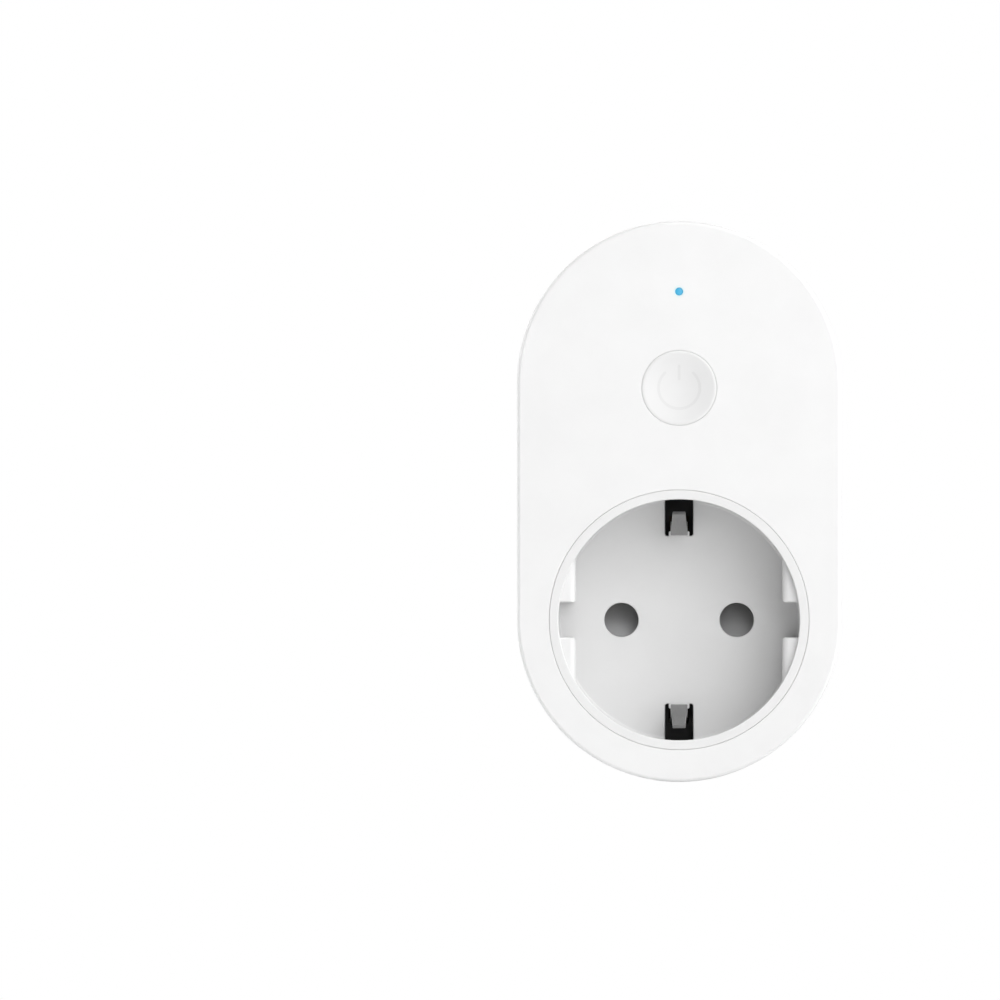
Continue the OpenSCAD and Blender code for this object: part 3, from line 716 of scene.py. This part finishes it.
def shell_bosses():
    """The screw bosses and the guides that stand on the inside of the front."""
    bosses = []
    for side in (-1, 1):
        upper = (side * BOSS_OFF, PLUG_Y + BOSS_OFF)
        lower = (side * BOSS_OFF, SOCKET_Y - BOSS_OFF)
        bosses.append(disc(BOSS_R, COVER_TOP, FACE + ROOT, upper, 48))
        bosses.append(disc(BOSS_R, COVER_TOP, FLOOR_UNDER - LOWER_BOSS_SHORT, lower, 48))
        bosses.append(disc(POST_R, BOARD_TOP, FACE + ROOT, (side * POST_X, POST_Y), 48))
    bosses.append(disc(GUIDE_R + GUIDE_WALL, FACE - GUIDE_DEPTH, FACE + ROOT, (0, BUTTON_Y)))
    bosses.append(disc(LENS_COLLAR_R, FACE - GUIDE_DEPTH, FACE + ROOT, (0, LENS_Y), 48))
    return bosses


def shell_openings():
    """Cutters for the screws, the socket cup, the button and its guide, and the lens."""
    guide_low = FACE - GUIDE_DEPTH - OVER
    key_slot = rectangle((-1.1, BUTTON_Y + GUIDE_R - OVER), (1.1, BUTTON_Y + GUIDE_R + 2))
    openings = []
    for corner in at_corners():
        openings.append(disc(BOSS_BORE_R, COVER_TOP - OVER, COVER_TOP + BOSS_BORE_DEPTH, corner, 32))
    for x in (-POST_X, POST_X):
        openings.append(disc(SMALL_BORE_R, BOARD_TOP - OVER, FACE - 1.5, (x, POST_Y), 32))
    return openings + [
        hole(CUP_R + CUP_GAP, FACE, FRONT, (0, SOCKET_Y), lip=SEAM_LIP, steps=240),
        hole(BUTTON_R + BUTTON_GAP, FACE, FRONT, (0, BUTTON_Y), lip=BUTTON_LIP, steps=144, slope=0.3),
        hole(LENS_R + LENS_GAP, FACE, FRONT, (0, LENS_Y), lip=LENS_LIP, steps=48),
        disc(GUIDE_R, guide_low, FACE, (0, BUTTON_Y)),
        disc(LENS_BORE_R, guide_low, FACE, (0, LENS_Y), 48),
        prism(shape(key_slot), [(guide_low, 0), (FACE, 0)]),
    ]


def front_shell():
    body = prism(pill(BODY_R, 96), levels(BACK, FRONT, BACK_EDGE, FRONT_EDGE, 6))
    cavity = prism(pill(CAVITY_R), levels(BACK - OVER, FACE, 0, 0.5))
    shell = combined(body, [cavity], "DIFFERENCE")
    shell = combined(shell, shell_bosses(), "UNION")
    return combined(shell, shell_openings(), "DIFFERENCE")


def rear_cover():
    cover = prism(pill(CAVITY_R - COVER_GAP, 96), levels(BACK, COVER_TOP, 0.3, 0.1))
    posts = []
    for x in (-COVER_POST_X, COVER_POST_X):
        for y in (SOCKET_Y - COVER_POST_Y, SOCKET_Y + COVER_POST_Y):
            posts.append(disc(COVER_POST_R, COVER_TOP - OVER, COVER_POST_TOP, (x, y), 32))
    cover = combined(cover, posts, "UNION")
    panel_low = (-PANEL_HALF_W, PANEL_Y - PANEL_HALF_H)
    panel_high = (PANEL_HALF_W, PANEL_Y + PANEL_HALF_H)
    panel_edge = [(BACK - OVER, -0.25), (BACK - SLIVER, -0.2), (BACK + 0.12, -0.06)]
    cutters = [
        hole(PLUG_R + PLUG_GAP, BACK, COVER_TOP, lip_low=0.2, steps=200),
        prism(shape(rectangle(panel_low, panel_high, 1.5)), panel_edge + [(BACK + PANEL_DEPTH, 0)]),
        mirrored(disc(POCKET_R, BACK + POCKET_FLOOR_T, COVER_TOP + OVER, (PIN_X, SOCKET_Y), 48)),
    ]
    for corner in at_corners():
        seat = BACK + SCREW_RECESS_DEPTH - OVER
        cutters.append(hole(SCREW_RECESS_R, BACK, seat, corner, lip_low=0.2, steps=64))
        cutters.append(disc(COVER_BORE_R, BACK, COVER_TOP + OVER, corner, 32))
    return combined(cover, cutters, "DIFFERENCE")


piece("shell", front_shell(), "front_shell")
piece("back_cover", rear_cover(), "rear_cover")


# ---- Socket ----

def flipped(bm):
    """The shape turned upside down about the x axis."""
    bmesh.ops.scale(bm, vec=(1, -1, 1), verts=bm.verts)
    bmesh.ops.reverse_faces(bm, faces=bm.faces)
    return bm


def both_ends(make):
    """What make draws above the socket's axis, and its mirror image below it."""
    return [make(), flipped(make())]


def key_half():
    """One half of each key, with a soft inner edge. It lies between a chord and the recess's wall."""
    outline = rectangle((KEY_FLAT, KEY_SLOT), (CUP_R, RECESS_R), 0.5)
    block = prism(shape(outline), levels(FLOOR - 0.4, KEY_TOP, 0, 0.3))
    low, outer = FLOOR - OVER, CUP_R + OVER
    corners = [(KEY_FLAT, low), (outer, low), (outer, KEY_TOP), (KEY_FLAT, KEY_TOP)]
    section = rounded(corners, [0, 0, 0, KEY_EDGE], step=math.radians(9))
    ends = (KEY_SLOT - OVER, RECESS_R + OVER)
    soft = tidy(loft([[Vector((p.x, y, p.y)) for p in section] for y in ends]))
    return mirrored(combined(block, [soft, disc(RECESS_R + ROOT, low, FRONT)], "INTERSECT"))


def earth_slot():
    """A cutter for the slot that an earth clip stands in, a little wider above the recess's floor."""
    slot = rectangle((-SLOT_HALF_W, SLOT_INNER), (SLOT_HALF_W, CUP_R + OVER), 0.35)
    wider = -0.12
    slot_levels = [(FLOOR_UNDER - OVER, 0), (FLOOR - 0.2, 0), (FLOOR, wider), (SLOT_TOP, wider)]
    return prism(shape(slot), slot_levels)


def earth_tab():
    """A small tab of the floor that reaches into an earth slot."""
    inner = [(-TAB_HALF_W, TAB_INNER), (TAB_HALF_W, TAB_INNER)]
    outer = [(TAB_HALF_W, TAB_OUTER), (-TAB_HALF_W, TAB_OUTER)]
    tab = rounded(inner + outer, [0, 0, 0.2, 0.2])
    return prism(shape(tab), levels(FLOOR_UNDER + 0.3, FLOOR - 0.05, 0, 0.15))


def socket_cup():
    outside = [(0, FLOOR_UNDER), (CUP_R, FLOOR_UNDER), (CUP_R, FLANGE_UNDER), (FLANGE_R, FLANGE_UNDER)]
    top = [(FLANGE_R, FACE), (CUP_R, FACE), (CUP_R, FRONT)]
    inside = [(RECESS_R, FRONT), (RECESS_R, FLOOR), (0, FLOOR)]
    radii = [0, 0.4, 0, 0.2, 0, 0, SEAM_LIP, 0.2, 0.5, 0]
    profile = rounded(outside + top + inside, radii, closed=False)
    cup = lathe([(p.x, p.y) for p in profile], steps=240)
    screw_place = (CARRIER_SCREW_X, 0)
    screw_bosses = mirrored(disc(CARRIER_BOSS_R, CARRIER_BOSS_LOW, FLOOR_UNDER + ROOT, screw_place, 48))
    cup = combined(cup, both_ends(key_half) + [screw_bosses], "UNION")
    cutters = [
        mirrored(hole(HOLE_R, FLOOR_UNDER, FLOOR, (PIN_X, 0), lip=0.2, steps=96)),
        mirrored(disc(SMALL_BORE_R, CARRIER_BOSS_LOW - OVER, FLOOR_UNDER + 0.8, screw_place, 32)),
    ]
    cup = combined(cup, cutters + both_ends(earth_slot), "DIFFERENCE")
    cup = combined(cup, both_ends(earth_tab), "UNION")
    bmesh.ops.translate(cup, vec=(0, SOCKET_Y, 0), verts=cup.verts)
    return cup


piece("cup", socket_cup(), "socket_cup")


def strip(path, radii, thickness, width_at, edge=0.12):
    """A bent strip along a path of (distance up, height) points. width_at gives its width at a height."""
    centre = rounded(path, radii, closed=False, step=math.radians(8))
    loops = []
    for i, point in enumerate(centre):
        along = centre[min(i + 1, len(centre) - 1)] - centre[max(i - 1, 0)]
        normal = Vector((-along.y, along.x)).normalized()
        half_w = width_at(point.y) / 2
        section = rectangle((-half_w, -thickness / 2), (half_w, thickness / 2), edge)
        loops.append([Vector((p.x, point.x + normal.x * p.y, point.y + normal.y * p.y)) for p in section])
    return tidy(loft(loops))


def clip_width(z):
    """A clip narrows from its nose to its tip."""
    return 2.8 - 0.7 * max(0, min(1, (z - CLIP_NOSE) / (CLIP_TIP - CLIP_NOSE)))


def earth_clip():
    root = EARTH_BAR_Z + 1
    straight = [(14.65, root), (15.9, root + 8.3), (15.9, FLOOR + 1)]
    bent = [(14.1, CLIP_NOSE), (16.9, CLIP_TIP - 1), (17.6, CLIP_TIP)]
    return strip(straight + bent, [0, 3, 3, 0.8, 2, 0], CLIP_T, clip_width)


for where, end, clip in (("top", "upper", earth_clip()), ("bottom", "lower", flipped(earth_clip()))):
    bmesh.ops.translate(clip, vec=(0, SOCKET_Y, 0), verts=clip.verts)
    piece(f"clip_{where}", clip, f"earth_clip_{end}", f"{end}_clip")


# ---- Plug ----

def plug_outline():
    """The plug base's outline. Each quarter of it is a rib, a flat, an arc and an earth groove."""
    flat_angle = math.degrees(math.acos(PLUG_FLAT / PLUG_R))
    groove_angle = math.degrees(math.acos(GROOVE / PLUG_R))
    rib_x = math.sqrt(PLUG_R**2 - RIB**2)
    arc_steps = 12
    middle = arc((0, 0), PLUG_R, flat_angle, groove_angle, arc_steps)
    rib = [Vector((rib_x, RIB)), Vector((PLUG_FLAT, RIB))]
    quarter_points = rib + middle + [Vector((GROOVE, GROOVE_FLOOR))]
    quarter_radii = [0.35, 0.3, 0.4] + [0] * (arc_steps - 1) + [0.25, 0.2]
    points, radii = [], []
    for sx, sy, backwards in ((1, 1, False), (-1, 1, True), (-1, -1, False), (1, -1, True)):
        part = [Vector((sx * p.x, sy * p.y)) for p in quarter_points]
        part_radii = list(quarter_radii)
        if backwards:
            part.reverse()
            part_radii.reverse()
        points += part
        radii += part_radii
    return rounded(points, radii)


def strip_notch():
    """A cutter for the notch that an earth strip passes through."""
    notch = rectangle((-2.1, GROOVE_FLOOR), (2.1, GROOVE_FLOOR + 1.1))
    return prism(shape(notch), [(BACK - OVER, 0), (plug_high.z + OVER, 0)])


def plug_base():
    lower = prism(shape(plug_outline()), [(-OVER, 0), (BACK, 0)])
    outer, top = PLUG_R + 0.05, BACK + 5
    edge = rounded([(0, 0), (outer, 0), (outer, top), (0, top)], [0, 0.6, 0, 0], closed=False)
    lower = combined(lower, [lathe([(p.x, p.y) for p in edge], steps=240)], "INTERSECT")
    neck = [(0, BACK), (PLUG_R, BACK), (PLUG_R, COVER_TOP)]
    flange = [(PLUG_FLANGE_R, COVER_TOP), (PLUG_FLANGE_R, plug_high.z), (0, plug_high.z)]
    base = combined(lower, [lathe(neck + flange, steps=200)], "UNION")
    base = combined(base, [disc(PLUG_HOLLOW_R, PLUG_FACE_T, plug_high.z + OVER)], "DIFFERENCE")
    boss = disc(RETAINER_BOSS_R, PLUG_FACE_T - ROOT, RETAINER_LOW, RETAINER_SCREW, 48)
    base = combined(base, [mirrored(boss)], "UNION")
    cutters = [
        mirrored(hole(PIN_COLLAR_R, 0, PLUG_FACE_T, (PIN_X, 0), lip_low=0.12, steps=96)),
        mirrored(disc(RETAINER_BORE_R, RETAINER_BORE_END, RETAINER_LOW + OVER, RETAINER_SCREW, 32)),
        hole(EARTH_HOLE_R, 0, PLUG_FACE_T, (0, EARTH_HOLE_Y), lip_low=0.3, steps=96),
    ]
    return combined(base, cutters + both_ends(strip_notch), "DIFFERENCE")


piece("plug_body", plug_base(), "plug_base")


def earth_strip():
    y = GROOVE_FLOOR + 0.5
    z = EARTH_BAR_Z - STRIP_T / 2
    return strip([(y, 0.6), (y, z), (12.5, z)], [0, 0.9, 0], STRIP_T, lambda height: STRIP_W, edge=0.15)


for name, bm in (("upper", earth_strip()), ("lower", flipped(earth_strip()))):
    piece(f"earth_strip_{name}", bm, f"plug_earth_strip_{name}")


# ---- Button and light ----

def mark_band(points, half_w):
    """A line of width 2 * half_w with round ends along a path."""
    left, right = [], []
    for i, point in enumerate(points):
        along = points[min(i + 1, len(points) - 1)] - points[max(i - 1, 0)]
        normal = Vector((-along.y, along.x)).normalized() * half_w
        left.append(point + normal)
        right.append(point - normal)
    first = (points[0] - points[1]).normalized()
    last = (points[-1] - points[-2]).normalized()

    def cap(centre, outward):
        start = math.degrees(math.atan2(outward.y, outward.x)) - 90
        return arc(centre, half_w, start, start + 180, 8)[1:-1]

    return right + cap(points[-1], last) + list(reversed(left)) + cap(points[0], first)


def dish_height(radius):
    """The height of the button's hollow top at a distance from its centre."""
    return FRONT - DISH_DEPTH + DISH_SPHERE - math.sqrt(DISH_SPHERE**2 - radius**2)


def dish_profile(depth):
    """The profile of the button's hollow top, lowered by depth, from its centre outwards."""
    steps = 12
    return [(DISH_R * k / steps, dish_height(DISH_R * k / steps) - depth) for k in range(steps + 1)]


def power_button():
    low, high = FACE - 1.25, FACE - 0.05  # heights of the flange
    dish = dish_profile(0)[:-1]
    side = [(DISH_R, FRONT), (BUTTON_R - 0.2, FRONT), (BUTTON_R, FRONT - 0.06), (BUTTON_R, high)]
    flange = [(BUTTON_FLANGE_R, high), (BUTTON_FLANGE_R, low), (0, low)]
    radii = [0] * len(dish) + [0.2, 0.3, 0.08, 0, 0.1, 0.1, 0]
    profile = rounded(dish + side + flange, radii, closed=False)
    button = lathe([(p.x, p.y) for p in profile], steps=180)
    key = prism(shape(rectangle((-0.9, 0), (0.9, GUIDE_R + 0.8), 0.1)), [(low, 0), (high, 0)])
    stem = disc(2, button_low.z, low + 0.2, steps=48)
    button = combined(button, [key, stem], "UNION")
    gap = MARK_GAP / 2
    ring = mark_groove(arc((0, 0), MARK_R, 90 + gap, 450 - gap, 60))
    bar = mark_groove([Vector((0, y)) for y in MARK_BAR])
    button = combined(button, [ring, bar], "DIFFERENCE")
    bmesh.ops.translate(button, vec=(0, BUTTON_Y, 0), verts=button.verts)
    return button


def mark_groove(path):
    """A cutter for a shallow groove along a path, with a floor that follows the button's hollow top."""
    line = prism(shape(mark_band(path, MARK_HALF_W)), [(FACE, 0), (FRONT + OVER, 0)])
    top = FRONT + 2 * OVER
    above = lathe(dish_profile(MARK_DEPTH) + [(DISH_R, top), (0, top)], steps=180)
    return combined(line, [above], "INTERSECT")


def light_lens():
    low, high = flat_box("led_lens")
    foot_r, foot_top = 1.4, FACE - 0.1
    foot = [(0, low.z), (foot_r, low.z), (foot_r, foot_top)]
    stem = [(LENS_R, foot_top), (LENS_R, high.z), (0, high.z)]
    profile = rounded(foot + stem, [0, 0.1, 0.1, 0, 0.25, 0], closed=False)
    return lathe([(p.x, p.y) for p in profile], (0, LENS_Y), 64)


piece("button", power_button(), "power_button", "button")
piece("light_lens", light_lens(), "led_lens")


# ---- Screws ----

def screw(head_r, head_t, shank_r, length):
    """A screw whose head's underside is at height 0, with a cross recess in its head and threads above."""
    corners = [(0, -head_t), (head_r, -head_t), (head_r, 0), (shank_r, 0)]
    head = rounded(corners, [0, head_t * 0.6, 0.1, 0], closed=False)
    profile = [(p.x, p.y) for p in head]
    root_r = shank_r * 0.78
    pitch = shank_r * 0.7
    z = pitch
    while z < length - 2 * pitch:
        profile += [(root_r, z), (shank_r, z + pitch * 0.4), (shank_r, z + pitch * 0.55)]
        z += pitch
    profile += [(root_r, z), (shank_r * 0.7, length - pitch), (0.05, length), (0, length)]
    made = lathe(profile, steps=48)
    half_l, half_w = head_r * 0.6, head_r * 0.14
    recess_levels = [(-head_t - OVER, -0.1), (-head_t, -0.04), (-head_t * 0.45, 0.05)]
    cross = []
    for long, wide in ((half_l, half_w), (half_w, half_l)):
        bar = rectangle((-long, -wide), (long, wide), half_w * 0.4)
        cross.append(prism(shape(bar), recess_levels))
    return combined(made, cross, "DIFFERENCE")


def placed(bm, place, upside_down=False):
    """The shape moved to a place, after it is turned over if upside_down is set."""
    if upside_down:
        bmesh.ops.rotate(bm, matrix=Matrix.Rotation(math.pi, 3, "X"), verts=bm.verts)
    bmesh.ops.translate(bm, vec=place, verts=bm.verts)
    return bm


def screws(name, places, head_r, head_t, shank_r, length, upside_down=False):
    """Identical screws: places are the undersides of their heads."""
    made = []
    for turn, place in enumerate(places):
        one = screw(head_r, head_t, shank_r, length)
        bmesh.ops.rotate(one, matrix=Matrix.Rotation(0.4 + 1.1 * turn, 3, "Z"), verts=one.verts)
        made.append(placed(one, place, upside_down))
    piece(name, joined(made), name)


def pair(x, y, z):
    """A place and its mirror image across x."""
    return [(-x, y, z), (x, y, z)]


housing_places = [(x, y, BACK + SCREW_RECESS_DEPTH) for x, y in at_corners()]
board_places = pair(POST_X, POST_Y, BOARD_LOW)
carrier_places = pair(CARRIER_SCREW_X, SOCKET_Y, CARRIER_LOW)
retainer_places = pair(*RETAINER_SCREW, RETAINER_TOP)
screws("housing_screws", housing_places, head_r=2.2, head_t=1.2, shank_r=1.25, length=10.8)
screws("board_screws", board_places, head_r=2, head_t=1.4, shank_r=1.05, length=7.6)
screws("carrier_screws", carrier_places, head_r=2, head_t=1.4, shank_r=1.05, length=8.8)
screws("retainer_screws", retainer_places, head_r=2, head_t=1.4, shank_r=0.95, length=4.4, upside_down=True)


# ---- Shutter's spring ----

def coil_height(turn, turns, end_rise, rise):
    """The height of the wire after a number of turns. The first and last turns are closed."""
    middle = min(max(turn - 1, 0), turns - 2)
    return end_rise * min(turn, 1) + rise * middle + end_rise * max(turn - turns + 1, 0)


def return_spring(low, high):
    """A coil spring between two heights, with a closed turn at each end."""
    wire_r = 0.25
    turns = 7
    steps = 32  # steps in a turn
    sides = 12  # sides of the wire
    coil_r = (high.x - low.x) / 2 - wire_r
    base = Vector((0, low.y + wire_r, (low.z + high.z) / 2))
    end_rise = 2 * wire_r * 1.1
    rise = (high.y - low.y - 2 * wire_r - 2 * end_rise) / (turns - 2)
    around = [2 * math.pi * k / sides for k in range(sides)]
    up = Vector((0, 1, 0))
    loops = []
    for i in range(turns * steps + 1):
        turn = i / steps
        outward = Vector((math.cos(2 * math.pi * turn), 0, math.sin(2 * math.pi * turn)))
        middle = base + up * coil_height(turn, turns, end_rise, rise) + outward * coil_r
        loops.append([middle + (outward * math.cos(a) + up * math.sin(a)) * wire_r for a in around])
    return tidy(loft(loops))


spring_low, spring_high = flat_box("shutter_spring")
spring = piece("return_spring", return_spring(spring_low, spring_high), "shutter_spring")
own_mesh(spring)


# ---- Parts inside ----

def softened(node, width_mm):
    """A CAD node's own shape with its edges rounded."""
    original = frame["nodes"][node]
    bm = bmesh.new()
    bm.from_mesh(original.data)
    bmesh.ops.remove_doubles(bm, verts=bm.verts, dist=1e-6)
    bmesh.ops.dissolve_limit(bm, angle_limit=math.radians(1), verts=bm.verts, edges=bm.edges)
    obj = smooth_object(f"{node}_soft", bm)
    bevel = obj.modifiers.new("edges", "BEVEL")
    bevel.width = width_mm * MM
    bevel.segments = 2
    bevel.limit_method = "ANGLE"
    bevel.angle_limit = math.radians(40)
    bevel.use_clamp_overlap = True
    bevel.harden_normals = True
    stand_for(obj, node, body_of(original)[0])


for node, width in SOFT_EDGES.items():
    softened(node, width)


# ---- Camera, light and floor ----

# These are in metres, and the lamps' powers in watts
VIEW_WIDTH = 0.16474465  # width that the camera sees
CAMERA_ASIDE = 0.0295  # how far the camera stands to the left of the object's axis
CAMERA_ABOVE = 0.00025  # how far it stands above the object's middle
CAMERA_BACK = 0.8
FLOOR_DROP = 0.0005  # gap between the object and the floor
FLOOR_HALF_W = 3.0
LAMP_SIZE = 1.0
LAMP_DISTANCE = 1.2
# Each soft lamp's name, the direction that it stands in and its power
LAMPS = (
    ("key", (0.35, -0.87, 0.35), 8.1),
    ("right", (0.97, -0.28, 0.1), 5.8),
    ("corner", (0.68, -0.25, 0.68), 6.3),
    ("top", (0.1, -0.5, 0.85), 5.2),
    ("fill_left", (-1, 0.35, 0.3), 12),
    ("fill_back", (0, 1, 0.3), 8),
)


def aim(obj, place, target):
    """Puts a camera or lamp at a place, so that it looks at the target."""
    obj.location = place
    obj.rotation_euler = (Vector(target) - Vector(place)).to_track_quat("-Z", "Y").to_euler()


def add_camera(scene):
    camera_data = bpy.data.cameras.new("camera")
    camera_data.type = "ORTHO"
    camera_data.ortho_scale = VIEW_WIDTH
    camera = bpy.data.objects.new("camera", camera_data)
    scene.collection.objects.link(camera)
    place = Vector((-CAMERA_ASIDE, -CAMERA_BACK, (PLUG_Y + SOCKET_Y) / 2 * MM + CAMERA_ABOVE))
    aim(camera, place, place + Vector((0, 1, 0)))
    scene.camera = camera


def add_world(scene):
    """White where the camera sees it, and a faint light everywhere else."""
    white = (1, 1, 1, 1)
    world = bpy.data.worlds.new("world")
    world.use_nodes = True
    tree = world.node_tree
    seen = tree.nodes["Background"]
    seen.inputs["Color"].default_value = white
    lit = tree.nodes.new("ShaderNodeBackground")
    lit.inputs["Color"].default_value = white
    lit.inputs["Strength"].default_value = 0.06
    path = tree.nodes.new("ShaderNodeLightPath")
    mix = tree.nodes.new("ShaderNodeMixShader")
    tree.links.new(path.outputs["Is Camera Ray"], mix.inputs["Fac"])
    tree.links.new(lit.outputs[0], mix.inputs[1])
    tree.links.new(seen.outputs[0], mix.inputs[2])
    tree.links.new(mix.outputs[0], tree.nodes["World Output"].inputs["Surface"])
    scene.world = world


def add_lamps(scene, middle):
    for name, direction, energy in LAMPS:
        lamp_data = bpy.data.lights.new(name, "AREA")
        lamp_data.energy = energy
        lamp_data.size = LAMP_SIZE
        lamp = bpy.data.objects.new(name, lamp_data)
        scene.collection.objects.link(lamp)
        aim(lamp, middle + Vector(direction).normalized() * LAMP_DISTANCE, middle)


def add_floor(scene, height):
    floor_mesh = bpy.data.meshes.new("floor")
    bm = bmesh.new()
    bmesh.ops.create_grid(bm, x_segments=1, y_segments=1, size=FLOOR_HALF_W)
    bm.to_mesh(floor_mesh)
    bm.free()
    floor = bpy.data.objects.new("floor", floor_mesh)
    floor.location.z = height
    scene.collection.objects.link(floor)
    floor_mesh.materials.append(Nodes("floor").finish(Base_Color=(0.9, 0.9, 0.9, 1), Roughness=0.6))


def set_the_stage():
    scene = bpy.context.scene
    scene.view_settings.view_transform = "Standard"
    low, high = (Vector(corner) for corner in cad_bounds)
    add_camera(scene)
    add_world(scene)
    add_lamps(scene, (low + high) / 2)
    add_floor(scene, low.z - FLOOR_DROP)


set_the_stage()
